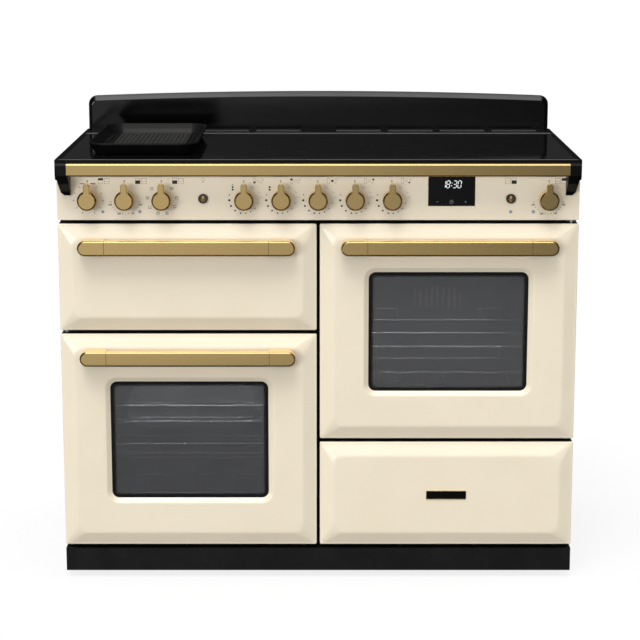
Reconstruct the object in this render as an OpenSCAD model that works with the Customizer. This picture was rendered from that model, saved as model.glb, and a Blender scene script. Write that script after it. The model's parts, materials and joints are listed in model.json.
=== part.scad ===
// Induction range cooker: two side-hinged ovens, a drop-door grill and a drawer
// under a glass hob, on two front feet and two rear rollers.
// Millimetres. +X right, +Y to the wall, +Z up, origin on the floor under the middle.
// Inside the modules y is counted from the front plane of the doors.

/* [Cabinet] */
// Width over the doors and side panels
body_w = 1086; // [1040:2:1140]
// Front plane of the doors to the back edge of the hob
hob_back = 604; // [596:2:640]
// How far the back panel lies inside the back edge of the hob
back_inset = 5.5; // [4:0.5:10]
// Sheet thickness of the sides, back, plinth and fascia
sheet = 1.5; // [1:0.1:2]
// Thickness of the steel face frame behind the doors
frame_t = 2; // [1.5:0.5:3]
// Space between the door liners and the face frame, filled by the seals
frame_gap = 7.5; // [6.5:0.5:9]
// Width of the folded edges of the side panels
flange_w = 14; // [10:1:20]

/* [Heights] */
// Floor clearance under the plinth
plinth_z = 15; // [10:1:20]
// Height of the plinth
plinth_h = 50; // [46:1:60]
// Gap between the plinth and the doors
low_gap = 8.5; // [8:0.5:10]
// Height of each column of doors
column_h = 697.5; // [690:0.5:720]
// Height of the grill door
grill_door_h = 226.5; // [222:0.5:240]
// Height of the drawer front
drawer_h = 227.5; // [220:0.5:240]
// Gap between doors in a column, and between the doors and the fascia
door_gap = 8; // [7.5:0.5:10]
// Gap between the two columns of doors
centre_gap = 6.4; // [5:0.2:8]
// Height of the fascia
fascia_h = 102; // [98:1:110]
// Gap between the fascia and the hob
fascia_gap = 2; // [1.5:0.5:3]

/* [Base] */
// Drop of the base pan below the top of the plinth
pan_drop = 1; // [0.5:0.5:2]
// Thickness of the base pan
pan_t = 2; // [1.5:0.5:3]
// Depth of the base pan's skirt
skirt_h = 34; // [30:1:38]
// Distance of feet and rollers inside the side panels
stand_in = 63; // [50:1:80]
// Distance of the feet behind the front plane
foot_y = 90; // [80:5:120]
// Radius of a foot's pad
foot_r = 22; // [18:1:26]
// Radius of a foot's stud
stud_r = 5; // [4:0.5:6]
// Distance of the rear rollers in front of the back panel
roller_in = 40; // [30:1:60]
// Radius of a rear roller
roller_r = 19; // [16:1:20]
// Width of a rear roller
roller_w = 24; // [20:1:30]
// Radius of a roller's axle
axle_r = 5; // [4:0.5:6]
// Thickness of the roller brackets
cheek_t = 3; // [2:0.5:4]

/* [Hob] */
// Height of the hob tray's edge
hob_edge_h = 22; // [20:1:28]
// How far the hob stands out past the doors
hob_front = 4; // [2:0.5:6]
// How far the hob stands out past the body at each side
hob_side = 3; // [1:0.5:5]
// Width of the tray's border beside the glass
hob_border = 12; // [10:1:16]
// Width of the ledge that carries the glass
ledge_w = 12; // [10:1:16]
// Depth of the glass from front to back
glass_d = 479; // [470:1:485]
// Thickness of the glass
glass_t = 4; // [4:0.5:6]
// How far the glass lies below the tray's lip
glass_drop = 0.5; // [0.3:0.1:1]
// Thickness of the ledge under the glass
ledge_t = 3; // [2:0.5:4]
// Wall of the pressed hob tray
tray_t = 2; // [1.5:0.5:2.5]
// Width of the tray's bottom return
tray_return = 30; // [24:1:36]
// Width of one vent slot
vent_w = 105; // [100:1:106]
// Pitch of the vent slots
vent_pitch = 121.4; // [115:0.2:122]
// Distance from the middle to the first vent slot
vent_first = 41.6; // [38:0.2:44]
// Front to back size of a vent slot
vent_d = 44; // [36:1:48]
// Distance of the vent slots in front of the upstand
vent_in = 12; // [8:1:16]

/* [Upstand] */
// Thickness of the rear upstand
upstand_t = 7; // [6:0.5:10]
// Height of the upstand at its ends
upstand_h = 79; // [70:1:100]
// Rise of the upstand's arched top
upstand_rise = 10; // [4:1:20]
// Radius of the upstand's top corners
upstand_r = 21; // [15:1:30]
// Height of the slope along the upstand's top
upstand_slope = 13; // [8:1:16]
// Width of the slope down the upstand's ends
upstand_side_slope = 8; // [4:1:12]
// How far the upstand lies inside the hob at each side
upstand_in = 4; // [2:1:8]

/* [Rail and handles] */
// Reach of the front rail from the front plane
rail_reach = 44; // [40:1:50]
// Height of the front rail
rail_h = 27.2; // [24:0.2:32]
// Thickness of the front rail
rail_t = 20; // [16:1:22]
// Distance of the rail's ends inside the ends of the hob
rail_in = 29; // [26:1:36]
// How far the rail's top lies under the hob's top
rail_drop = 3; // [1:0.5:6]
// Edge radius of the rail and of the handles
bar_r = 4.5; // [3:0.5:6]
// Height of a rail end's foot under the rail
rail_foot_h = 43; // [36:1:46]
// Reach of a door handle from the front plane
handle_reach = 44; // [40:1:50]
// Height of a door handle's bar
handle_h = 32.4; // [28:0.4:36]
// Thickness of a door handle's bar
handle_t = 20; // [16:1:22]
// Distance of a handle's ends from the door's edges
handle_in = 43.6; // [40:0.2:50]
// Length of a handle's end block
handle_end = 55.8; // [45:0.2:65]
// Distance of a handle's axis below the top of its door
handle_down = 45.8; // [42:0.2:50]

/* [Fascia] */
// Height of the knobs above the fascia's lower edge
knob_up = 43.5; // [38:0.5:46]
// Pitch of the knobs in a group
knob_pitch = 76.8; // [70:0.2:80]
// Distance of the outermost knobs from the fascia's ends
knob_in = 65; // [60:0.5:72]
// Radius of a knob
skirt_r = 20.4; // [19:0.2:23]
// Radius of a knob's face
knob_r = 17; // [15:0.2:18.5]
// Width of a knob's lever
lever_w = 13.4; // [10:0.2:15]
// Reach of a knob's lever above its axis
lever_reach = 36; // [32:0.5:42]
// How far a knob stands out of the fascia
knob_out = 33; // [26:0.5:38]
// Radius of a knob's shaft
shaft_r = 3; // [2.5:0.1:3.5]
// Radius of a push button
button_r = 6.3; // [5:0.1:7]
// Distance of the lamp button from the middle
lamp_button_x = 239.2; // [230:0.2:245]
// Distance of the drawer button from the last knob
drawer_button_in = 77.8; // [70:0.1:86]
// Height of the buttons above the fascia's lower edge
button_up = 45; // [40:0.5:50]
// Travel of a push button
button_travel = 2.5; // [1.5:0.5:3]
// Radius of an indicator lamp
neon_r = 3.4; // [2.5:0.1:4]
// Height of the indicator lamps above the fascia's lower edge
neon_up = 17.6; // [14:0.2:20]
// Left edge of the clock display
clock_x = 228.4; // [220:0.2:232]
// Width of the clock display
clock_w = 97.4; // [80:0.2:105]
// Lower edge of the clock display above the fascia's lower edge
clock_up = 29.5; // [26:0.5:34]
// Height of the clock display
clock_h = 64; // [50:1:68]

/* [Doors] */
// Depth of a door's outer skin behind the front plane
skin_d = 37; // [35:0.5:40]
// Sheet thickness of the doors' skins
skin_t = 1.2; // [0.8:0.1:1.5]
// Sheet thickness of the doors' liners
liner_t = 1.5; // [1:0.1:2]
// How far the raised field stands out of the front plane
field_out = 10; // [6:0.5:12]
// Width of the sloping border round the raised field
bevel_w = 30; // [24:1:36]
// Corner radius of the raised field
field_r = 22; // [16:1:26]
// Width of a window opening
window_w = 334.6; // [300:0.2:350]
// Height of a window opening
window_h = 255; // [230:1:262]
// Corner radius of a window opening
window_r = 15; // [10:1:20]
// How far a window's middle lies above the middle of its door
window_up = 1.8; // [0:0.2:4]
// Width of the pressed lip round a window
lip_w = 9; // [6:0.5:12]
// Depth of the pressed lip round a window
lip_d = 7; // [4:0.5:8]
// Thickness of a door's glass
pane_t = 4; // [3:0.5:5]
// Radius of the hinge pins
pin_r = 4; // [3:0.5:5]
// Distance of a side hinge from the edge of its door
hinge_in = 12; // [11:0.5:14]
// Depth of a side hinge behind the front plane
hinge_y = 24; // [22:0.5:26]
// Depth of the grill door's hinge behind the front plane
grill_hinge_y = 9; // [8.5:0.5:10]
// Height of the grill door's hinge above the door's lower edge
grill_hinge_up = 8; // [7.5:0.5:9]
// Distance of the grill door's hinge arms from its ends
arm_in = 25; // [20:1:40]

/* [Ovens] */
// Inside width of the ovens and of the grill
oven_w = 430; // [410:2:440]
// Inside height of the ovens
oven_h = 366; // [350:2:376]
// Inside depth of the ovens
oven_d = 392; // [385:1:410]
// Corner radius of the oven and grill cavities
oven_r = 15; // [10:1:25]
// Sheet thickness of the cavities
cavity_t = 1.5; // [1:0.1:2]
// Inside height of the grill
grill_h = 184; // [170:2:190]
// Inside depth of the grill
grill_d = 360; // [340:2:390]
// Height of the lowest shelf above the oven's floor
shelf_low = 48.5; // [40:0.5:60]
// Pitch of the shelf positions
shelf_pitch = 45; // [40:0.5:50]
// Half width of a shelf at its side wires
shelf_half = 200; // [196:0.5:202]
// Pitch of the long wires of a shelf
wire_pitch = 46.7; // [40:0.1:47.5]
// Radius of a shelf's frame wires
rim_wire_r = 2.5; // [2:0.1:3]
// Radius of a shelf's long wires
wire_r = 1.8; // [1.5:0.1:2.2]
// Distance of a shelf's front wire behind the front plane
shelf_y = 62.5; // [60:0.5:70]
// Length of a shelf from front wire to rear wire
shelf_d = 287; // [270:1:295]
// Distance of the fan cover in front of the oven's back wall
cover_in = 55; // [50:1:60]
// Radius of a convection fan
fan_r = 72; // [60:1:80]
// Radius of a fan's shaft
fan_shaft_r = 4; // [3:0.5:5]
// Radius of the heating ring round a fan
ring_r = 92; // [88:1:96]
// Radius of a heating element's tube
element_r = 3.2; // [2.8:0.1:4]
// Thickness of the insulation round the cavities
wool_t = 20; // [15:1:22]
// Radius of the door seals
seal_r = 2.5; // [2.2:0.1:3]

/* [Roasting rack] */
// Half width of the roasting tin
tin_half = 136.5; // [120:0.5:138]
// Depth of the tin from front to back
tin_d = 165; // [140:1:168]
// Height of the tin
tin_h = 56; // [45:1:60]
// Radius along the tin's lower edges
tin_r = 38; // [25:1:42]
// Height of the tin's underside above the oven's floor
tin_up = 197; // [190:1:205]

/* [Drawer] */
// Inside width of the drawer box
drawer_w = 420; // [400:2:426]
// Inside height of the drawer box
drawer_box_h = 160; // [140:2:170]
// Length of the drawer box behind its front
drawer_d = 430; // [400:2:450]

/* [Griddle] */
// Width over the griddle's rim
griddle_w = 236; // [220:1:250]
// Length over the griddle's rim
griddle_l = 414; // [390:1:440]
// Height of the griddle
griddle_h = 25; // [22:1:32]
// Distance of the griddle's middle left of the middle plane
griddle_x = 371; // [365:0.5:378]
// Distance of the griddle's middle behind the front plane
griddle_y = 284; // [276:1:290]
// Slope of the griddle's sides, rim to base
griddle_slope = 14; // [8:1:18]
// Number of ridges on the griddle
ridges = 20; // [12:1:24]

/* [Hidden] */
$fn = 48;

// Clearances and small fixed details
run_fit = 0.05;     // radial clearance of shafts and pins in their bores
seat_gap = 0.3;     // clearance of a loose piece on its seat
slip_gap = 1;       // clearance of a knob or a glass edge
cut = 1;            // overrun of a cut past the face that it opens
slice = 0.02;       // thin slice that ends a blended form
weld = 0.6;         // sink of one welded wire into the next

cream = [0.93, 0.88, 0.79];
black = [0.10, 0.10, 0.11];
enamel = [0.16, 0.16, 0.18];
brass = [0.72, 0.62, 0.42];
steel = [0.66, 0.67, 0.69];
chrome = [0.80, 0.81, 0.83];
zinc = [0.60, 0.61, 0.63];
smoke = [0.22, 0.24, 0.25];
wool = [0.86, 0.84, 0.78];
bakelite = [0.20, 0.19, 0.18];

// Levels
plinth_top = plinth_z + plinth_h;
doors_z = plinth_top + low_gap;
doors_top = doors_z + column_h;
fascia_z = doors_top + door_gap;
fascia_top = fascia_z + fascia_h;
hob_z = fascia_top + fascia_gap;
hob_top = hob_z + hob_edge_h;
pan_top = plinth_top - pan_drop;
pan_under = pan_top - pan_t;
skirt_z = pan_top - skirt_h;

// Depths
frame_y = skin_d + liner_t + frame_gap;
body_y = frame_y + frame_t;
back_y = hob_back - back_inset;
back_in = back_y - sheet;
front_most = max(rail_reach, handle_reach);
mid_y = (hob_back - front_most) / 2;
oven_back = body_y + oven_d;
grill_back = body_y + grill_d;
cover_y = oven_back - cover_in;

// Columns and doors
body_x = body_w / 2;
stand_x = body_x - stand_in;
side_in = body_x - sheet;
door_w = (body_w - centre_gap) / 2;
col_x = (door_w + centre_gap) / 2;
left_door_h = column_h - grill_door_h - door_gap;
grill_door_z = doors_top - grill_door_h;
right_door_z = doors_z + drawer_h + door_gap;
right_door_h = column_h - drawer_h - door_gap;
left_mid = doors_z + left_door_h / 2;
right_mid = right_door_z + right_door_h / 2;
grill_mid = grill_door_z + grill_door_h / 2 + 2.5;
left_floor = left_mid - oven_h / 2;
right_floor = right_mid - oven_h / 2;
grill_floor = grill_mid - grill_h / 2;

// Side hinges: axis of each door, and the brackets in the gaps above and below
left_hinge_x = -body_x + hinge_in;
right_hinge_x = body_x - hinge_in;
bush_r = pin_r + 5;
bush_l = 14;
bracket_t = 3;
bracket_over = 2;
collar_r = pin_r + 3;
hinge_flange_t = 2;

// Grill door hinge
arm_t = 3;
arm_slot = arm_t + 2;
arm_r = 6;
leaf_t = 3;
grill_pin_z = grill_door_z + grill_hinge_up;

// Hob
hob_half = body_x + hob_side;
rail_half = hob_half - rail_in;
glass_half = hob_half - hob_border;
glass_y = -hob_front + hob_border;
glass_top = hob_top - glass_drop;
glass_under = glass_top - glass_t;
ledge_under = glass_under - ledge_t;
vent_y = hob_back - upstand_t - vent_in - vent_d;
coil_tray_z = hob_z + tray_t;

// Fascia
knob_z = fascia_z + knob_up;
button_z = fascia_z + button_up;
neon_z = fascia_z + neon_up;
knob_end = body_x - knob_in;
drawer_button_x = knob_end - drawer_button_in;
knob_xs = [-knob_end, -knob_end + knob_pitch, -knob_end + 2 * knob_pitch,
    -2 * knob_pitch, -knob_pitch, 0, knob_pitch, 2 * knob_pitch, knob_end];
neon_xs = [-knob_end + 30, -knob_end + knob_pitch + 30, drawer_button_x,
    knob_end - 30.7];
switch_half = 15;
switch_d = 28;
shaft_in = 14;
bezel_r = button_r + 3.7;
button_hole = button_r + 0.2;
stem_r = 3;

// Shelf ladders
ladder_x = oven_w / 2 - 6;
ladder_r = 3;
rung_r = 2.5;
rung_x = ladder_x - ladder_r - rung_r + weld;
rung_drop = sqrt(pow(rung_r + rim_wire_r + seat_gap, 2) - pow(rung_x - shelf_half, 2));
rung_count = 5;
front_bend = 45;
rear_bend = 15;

// Roasting rack
rack_r = 2.5;
tin_wall = 1.2;
tin_rim = 9;
tin_y = skin_d + liner_t + 20;
tin_z = left_floor + tin_up;
rack_y = skin_d + liner_t + rack_r;

// Fan
fan_y = cover_y + 8;
fan_l = 32;
motor_r = 34;
motor_l = 46;

// Base
roller_y = back_in - roller_in;
cheek_x = roller_w / 2 + 0.6;

// A box given by two opposite corners
module block(lo, hi) {
    translate(lo) cube(hi - lo);
}

// Moves a module's parts from the front-plane frame to the object's own frame
module placed() {
    translate([0, -mid_y, 0]) children();
}

// Stands a drawing up in x and z, from depth y backwards by t
module upright(y, t) {
    translate([0, y + t, 0]) rotate([90, 0, 0]) linear_extrude(t) children();
}

// Draws a section in y and z and runs it from x0 to x1
module across(x0, x1) {
    translate([x0, 0, 0]) rotate([90, 0, 90]) linear_extrude(x1 - x0) children();
}

module rod_x(r, x0, x1, y, z) {
    translate([x0, y, z]) rotate([0, 90, 0]) cylinder(r = r, h = x1 - x0);
}

module rod_y(r, y0, y1, x, z) {
    translate([x, y1, z]) rotate([90, 0, 0]) cylinder(r = r, h = y1 - y0);
}

module rod_z(r, z0, z1, x, y) {
    translate([x, y, z0]) cylinder(r = r, h = z1 - z0);
}

// A quarter bend of wire in the horizontal plane, from angle a onwards
module bend(r, bend_r, a, x, y, z) {
    translate([x, y, z]) rotate([0, 0, a]) rotate_extrude(angle = 90) translate([bend_r, 0]) circle(r);
}

// A rounded rectangle about the origin
module rrect(w, h, r) {
    square([w - 2 * r, h], center = true);
    square([w, h - 2 * r], center = true);
    for (sx = [-1, 1], sy = [-1, 1])
        translate([sx * (w / 2 - r), sy * (h / 2 - r)]) circle(r);
}

module rring(w, h, r, t) {
    difference() {
        rrect(w + 2 * t, h + 2 * t, r + t);
        rrect(w, h, r);
    }
}

module mirrored() {
    children();
    mirror([1, 0, 0]) children();
}

// Base, sides and frame

module base_chassis() {
    color(zinc) placed() difference() {
        union() {
            difference() {
                block([-side_in, body_y, skirt_z], [side_in, back_in, pan_top]);
                block([-side_in + pan_t, body_y + pan_t, skirt_z - cut],
                    [side_in - pan_t, back_in - pan_t, pan_under]);
            }
            for (s = [-1, 1]) {
                rod_z(stud_r + 7, pan_under - 18, pan_under + cut, s * stand_x, foot_y);
                roller_bracket(s * stand_x);
            }
        }
        for (s = [-1, 1])
            rod_z(stud_r + run_fit, pan_under - 18 - cut, pan_top + cut, s * stand_x, foot_y);
    }
}

// Two cheeks and the axle that carry a rear roller
module roller_bracket(x) {
    for (s = [-1, 1])
        translate([x + s * (cheek_x + cheek_t / 2) - cheek_t / 2, 0, 0]) across(0, cheek_t) {
            translate([roller_y - 16, roller_r]) square([32, pan_under + cut - roller_r]);
            translate([roller_y, roller_r]) circle(12);
            translate([roller_y - 12, roller_r]) square([24, 4]);
        }
    rod_x(axle_r, x - cheek_x - cheek_t - 2, x + cheek_x + cheek_t + 2, roller_y, roller_r);
}

module levelling_feet() {
    color(black) placed() for (s = [-1, 1]) {
        rod_z(foot_r, 0, 6, s * stand_x, foot_y);
        translate([s * stand_x, foot_y, 6 - slice]) cylinder(r1 = foot_r - 2, r2 = stud_r + 4, h = 6);
        rod_z(stud_r, 6, pan_under - 2, s * stand_x, foot_y);
        translate([s * stand_x, foot_y, 18]) cylinder(r = stud_r + 5, h = 8, $fn = 6);
    }
}

module roller(x) {
    color(black) placed() translate([x - roller_w / 2, roller_y, roller_r]) rotate([0, 90, 0])
        rotate_extrude() difference() {
            translate([axle_r + run_fit, 0]) square([roller_r - axle_r - run_fit, roller_w]);
            for (z = [0, roller_w]) translate([roller_r, z]) circle(2);
        }
}

module plinth() {
    color(black) placed() difference() {
        block([-body_x, 0, plinth_z], [body_x, frame_y, plinth_top]);
        block([-side_in, sheet, plinth_z + sheet], [side_in, frame_y + cut, plinth_top - sheet]);
        block([-side_in, flange_w, plinth_z - cut], [side_in, frame_y + cut, plinth_z + 2 * sheet]);
    }
}

module side_panels() {
    color(black) placed() mirrored() {
        block([side_in, body_y, skirt_z], [body_x, back_in, hob_z]);
        for (y = [body_y, back_in - sheet])
            block([side_in - flange_w, y, pan_top + slip_gap], [body_x, y + sheet, hob_z]);
        block([side_in - flange_w, body_y, hob_z - sheet], [body_x, back_in, hob_z]);
    }
}

module back_panel() {
    slot_count = 9;
    slot_pitch = 40;
    color(zinc) placed() difference() {
        block([-body_x, back_in, pan_top + slip_gap], [body_x, back_y, hob_z]);
        for (sx = [-1, 1], row = [0, 1], k = [0 : slot_count - 1])
            upright(back_in - cut, sheet + 2 * cut) translate([
                sx * col_x + (k - (slot_count - 1) / 2) * slot_pitch,
                doors_top - 40 - row * (column_h - 177.5)]) rrect(8, 60, 3.9);
        block([terminal_x - seat_gap, back_in - cut, terminal_z - seat_gap],
            [terminal_x + terminal_w + seat_gap, back_y + cut, terminal_z + terminal_h + seat_gap]);
    }
}

// The face frame with its four mouths
module front_frame() {
    color(black) placed() upright(frame_y, frame_t) difference() {
        translate([-body_x, pan_top - 4]) square([body_w, hob_z - pan_top + 4]);
        translate([-col_x, left_mid]) rrect(oven_w, oven_h, oven_r);
        translate([col_x, right_mid]) rrect(oven_w, oven_h, oven_r);
        translate([-col_x, grill_mid]) rrect(oven_w, grill_h, oven_r);
        translate([col_x, drawer_mouth_z + drawer_mouth_h / 2]) rrect(drawer_mouth_w, drawer_mouth_h, 6);
    }
}

// Hob

module hob_frame() {
    color(black) placed() difference() {
        block([-hob_half, -hob_front, hob_z], [hob_half, hob_back, hob_top]);
        // hollow of the tray between its top and its bottom return
        block([-hob_half + tray_t, -hob_front + tray_t, hob_z + tray_t],
            [hob_half - tray_t, hob_back - tray_t, ledge_under]);
        block([-hob_half + tray_return, -hob_front + tray_return, hob_z - cut],
            [hob_half - tray_return, vent_y - 12, hob_z + tray_t + cut]);
        // seat of the glass and the mouth under it
        translate([0, glass_y + glass_d / 2, glass_under])
            linear_extrude(glass_t + glass_drop + cut) rrect(2 * glass_half, glass_d, 3);
        block([-glass_half + ledge_w, glass_y + ledge_w, ledge_under - cut],
            [glass_half - ledge_w, glass_y + glass_d - ledge_w, glass_under + cut]);
        for (s = [-1, 1], k = [0 : 3])
            translate([s * (vent_first + vent_w / 2 + k * vent_pitch), vent_y + vent_d / 2,
                ledge_under - cut]) linear_extrude(hob_top - ledge_under + 2 * cut)
                    rrect(vent_w, vent_d, 2);
    }
}

module hob_glass() {
    color(black) placed() translate([0, glass_y + glass_d / 2, glass_under])
        linear_extrude(glass_t) rrect(2 * glass_half - 2 * seat_gap, glass_d - 2 * seat_gap, 3);
}

// Half width w, straight sides h high, an arched top and rounded corners
function arch_z(x, w, h, rise) = h + rise * (1 - pow(x / w, 2));
function upstand_outline(w, h, rise, r) = concat(
    [[-w, 0]],
    [for (a = [180 : -15 : 90]) [-w + r + r * cos(a), h - r + r * sin(a)]],
    [for (k = [1 : 15]) let (x = (w - r) * (k / 8 - 1)) [x, arch_z(x, w - r, h, rise)]],
    [for (a = [90 : -15 : 0]) [w - r + r * cos(a), h - r + r * sin(a)]],
    [[w, 0]]);

module rear_upstand() {
    w = hob_half - upstand_in;
    flat_t = upstand_t * 0.4;
    color(black) placed() translate([0, 0, hob_top]) {
        upright(hob_back - flat_t, flat_t)
            polygon(upstand_outline(w, upstand_h, upstand_rise, upstand_r));
        hull() {
            upright(hob_back - flat_t, slice)
                polygon(upstand_outline(w, upstand_h, upstand_rise, upstand_r));
            upright(hob_back - upstand_t, slice)
                polygon(upstand_outline(w - upstand_side_slope, upstand_h - upstand_slope,
                    upstand_rise, upstand_r - upstand_side_slope));
        }
    }
}

module front_rail() {
    z = hob_top - rail_drop - rail_h / 2;
    color(brass) placed() across(-rail_half, rail_half)
        translate([-rail_reach + rail_t / 2, z]) rrect(rail_t, rail_h, bar_r);
}

// End caps that carry the rail on the fascia and on the edge of the hob
module rail_ends() {
    top = hob_top - rail_drop;
    low = top - rail_h - rail_foot_h;
    out = hob_half - 5.4;
    color(black) placed() mirrored() intersection() {
        across(rail_half - 3.2, out) polygon([
            [-hob_front, top], [-rail_reach + 4, top], [-rail_reach, top - 4],
            [-rail_reach, top - rail_h + 2], [-rail_reach + 4, top - rail_h - 5],
            [-rail_reach + 12, top - rail_h - 16], [-10, low + 8], [-7, low], [0, low],
            [0, hob_z], [-hob_front, hob_z]]);
        upright(-rail_reach - cut, rail_reach + 2 * cut) polygon([
            [rail_half, top + cut], [out, top + cut], [out, top - rail_h - 6],
            [out - 3.6, top - rail_h - 8], [out - 7, low + 7], [out - 14, low - slice],
            [rail_half - 3.2, low - slice], [rail_half - 3.2, top - rail_h - 1],
            [rail_half, top - rail_h - 1]]);
    }
}

// Induction coils on their tray and the power modules under it
module induction_units() {
    left_x = -glass_half + 171;
    zones = [[0, 261, 105], [glass_half - 145, 348, 95], [glass_half - 290, 143, 76],
        [left_x, 128, 92], [left_x, 330, 92]];
    tray_half = hob_half - tray_return + 10;
    tray_y0 = -hob_front + tray_return - 10;
    tray_y1 = glass_y + glass_d - ledge_w - 8;
    former_t = 8;
    module_w = 280;
    module_x = glass_half - 174;
    coil_gap = 1 - seat_gap;
    color(steel) placed() {
        block([-tray_half, tray_y0, coil_tray_z], [tray_half, tray_y1, coil_tray_z + sheet]);
        for (x = [-module_x, 0, module_x])
            block([x - module_w / 2, body_y + 30, hob_z - 42],
                [x + module_w / 2, body_y + 330, coil_tray_z]);
    }
    color(bakelite) placed() for (c = zones)
        rod_z(c[2], coil_tray_z + sheet, coil_tray_z + sheet + former_t, c[0], c[1]);
    color([0.72, 0.45, 0.2]) placed() for (c = zones) difference() {
        rod_z(c[2] - 4, coil_tray_z + sheet + former_t, glass_under - coil_gap, c[0], c[1]);
        rod_z(22, coil_tray_z + sheet + former_t - cut, glass_under + cut, c[0], c[1]);
    }
}

// Fascia

module control_panel() {
    color(cream) placed() difference() {
        block([-body_x, 0, fascia_z], [body_x, frame_y, fascia_top]);
        block([-side_in, sheet, fascia_z + sheet], [side_in, frame_y + cut, fascia_top - sheet]);
        for (x = knob_xs) rod_y(shaft_r + 2, -cut, sheet + cut, x, knob_z);
        for (x = [-lamp_button_x, drawer_button_x])
            rod_y(button_hole + 1.6, -cut, sheet + cut, x, button_z);
        for (x = neon_xs) rod_y(neon_r + 0.1, -cut, sheet + cut, x, neon_z);
        block([clock_x + 4, -cut, fascia_z + clock_up + 4],
            [clock_x + clock_w - 4, sheet + cut, fascia_z + clock_up + clock_h - 4]);
    }
}

module clock_display() {
    z = fascia_z + clock_up;
    color(black) placed() {
        block([clock_x, -0.8, z], [clock_x + clock_w, 0, z + clock_h]);
        block([clock_x + 4.5, -slice, z + 4.5], [clock_x + clock_w - 4.5, 24, z + clock_h - 4.5]);
    }
}

module indicator_lamps() {
    color([0.55, 0.62, 0.72]) placed() for (x = neon_xs) {
        rod_y(neon_r, -0.6, sheet + slice, x, neon_z);
        rod_y(neon_r + 1.6, sheet, sheet + 9, x, neon_z);
        translate([x, -0.6, neon_z]) intersection() {
            translate([0, 4.4, 0]) sphere(r = 5.5);
            rod_y(neon_r, -1.2, slice, 0, 0);
        }
    }
}

// Rotary switches behind the knobs and push switches with their bezels
module control_switches() {
    color(bakelite) placed() {
        for (x = knob_xs) difference() {
            block([x - switch_half, sheet, knob_z - switch_half],
                [x + switch_half, sheet + switch_d, knob_z + switch_half]);
            rod_y(shaft_r + run_fit, sheet - cut, sheet + shaft_in + 2, x, knob_z);
        }
        for (x = [-lamp_button_x, drawer_button_x]) difference() {
            union() {
                rod_y(bezel_r, -4, 0, x, button_z);
                rod_y(button_hole + 1.5, -slice, sheet + slice, x, button_z);
                block([x - switch_half + 3, sheet, button_z - switch_half + 3],
                    [x + switch_half - 3, sheet + switch_d, button_z + switch_half - 3]);
            }
            rod_y(button_hole, -4 - cut, 3 + button_travel, x, button_z);
            rod_y(stem_r + run_fit, 0, sheet + 18, x, button_z);
        }
    }
}

module knob(n) {
    face = -knob_out;
    edge = 6;
    tip = lever_w / 2;
    color(brass) placed() translate([knob_xs[n - 1], 0, knob_z]) {
        rod_y(skirt_r, face + edge, -slip_gap, 0, 0);
        translate([0, face + edge + slice, 0]) rotate([90, 0, 0])
            cylinder(r1 = skirt_r, r2 = knob_r, h = edge + slice);
        block([-tip, face, 0], [tip, face + 13, lever_reach - tip]);
        rod_y(tip, face, face + 13, 0, lever_reach - tip);
        rod_y(shaft_r, -slip_gap - slice, sheet + shaft_in, 0, 0);
    }
}

module push_button(x) {
    color(brass) placed() translate([x, 0, button_z]) {
        intersection() {
            translate([0, 1.2, 0]) sphere(r = 8.2);
            rod_y(button_r, -7.5, 2, 0, 0);
        }
        rod_y(stem_r, 1, sheet + 18 - button_travel - 2, 0, 0);
    }
}

// Cavities

module cavity(x, z, h, d) {
    translate([x, 0, z]) difference() {
        union() {
            upright(body_y, d + cavity_t) rrect(oven_w + 2 * cavity_t, h + 2 * cavity_t, oven_r + cavity_t);
            upright(body_y, cavity_t) rrect(oven_w + 2 * flange_w, h + 2 * flange_w, oven_r + flange_w);
        }
        upright(body_y - cut, d + cut) rrect(oven_w, h, oven_r);
    }
}

module oven_liner(x, z) {
    color(enamel) placed() difference() {
        cavity(x, z, oven_h, oven_d);
        rod_y(fan_shaft_r + 3, oven_back - cut, oven_back + cavity_t + cut, x, z);
    }
}

pan_half = 192;
pan_z = grill_floor + 34;

// The grill's cavity with the side rails for its pan
module grill_liner() {
    color(enamel) placed() {
        cavity(-col_x, grill_mid, grill_h, grill_d);
        for (s = [-1, 1]) {
            x0 = -col_x + s * (oven_w / 2 + cavity_t / 2);
            x1 = -col_x + s * (pan_half - 10);
            block([min(x0, x1), body_y + 20, pan_z - 3], [max(x0, x1), grill_back - 20, pan_z]);
        }
    }
}

module wool_sleeve(x, z, h, d) {
    gap = cavity_t + seat_gap;
    translate([x, 0, z]) upright(body_y + 12, d - 20)
        rring(oven_w + 2 * gap, h + 2 * gap, oven_r + gap, wool_t);
}

module oven_insulation() {
    color(wool) placed() {
        wool_sleeve(-col_x, left_mid, oven_h, oven_d);
        wool_sleeve(col_x, right_mid, oven_h, oven_d);
        wool_sleeve(-col_x, grill_mid, grill_h, grill_d);
    }
}

// One side ladder: two uprights on pegs, and the rungs that carry the shelves
module ladder(s, x, floor_z) {
    y0 = shelf_y + 22;
    y1 = shelf_y + shelf_d - 12;
    low = floor_z + shelf_low - 22;
    high = floor_z + shelf_low + (rung_count - 1) * shelf_pitch + 14;
    for (y = [y0, y1]) {
        rod_z(ladder_r, low, high, x + s * ladder_x, y);
        for (z = [low + 8, high - 8])
            rod_x(ladder_r - 0.5, x + (s > 0 ? ladder_x : -oven_w / 2),
                x + (s > 0 ? oven_w / 2 : -ladder_x), y, z);
    }
    for (k = [0 : rung_count - 1])
        rod_y(rung_r, y0 - 12, y1 + 10, x + s * rung_x, floor_z + shelf_low + k * shelf_pitch - rung_drop);
}

module shelf_ladders() {
    color(chrome) placed() for (s = [-1, 1]) {
        ladder(s, -col_x, left_floor);
        ladder(s, col_x, right_floor);
    }
}

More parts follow.
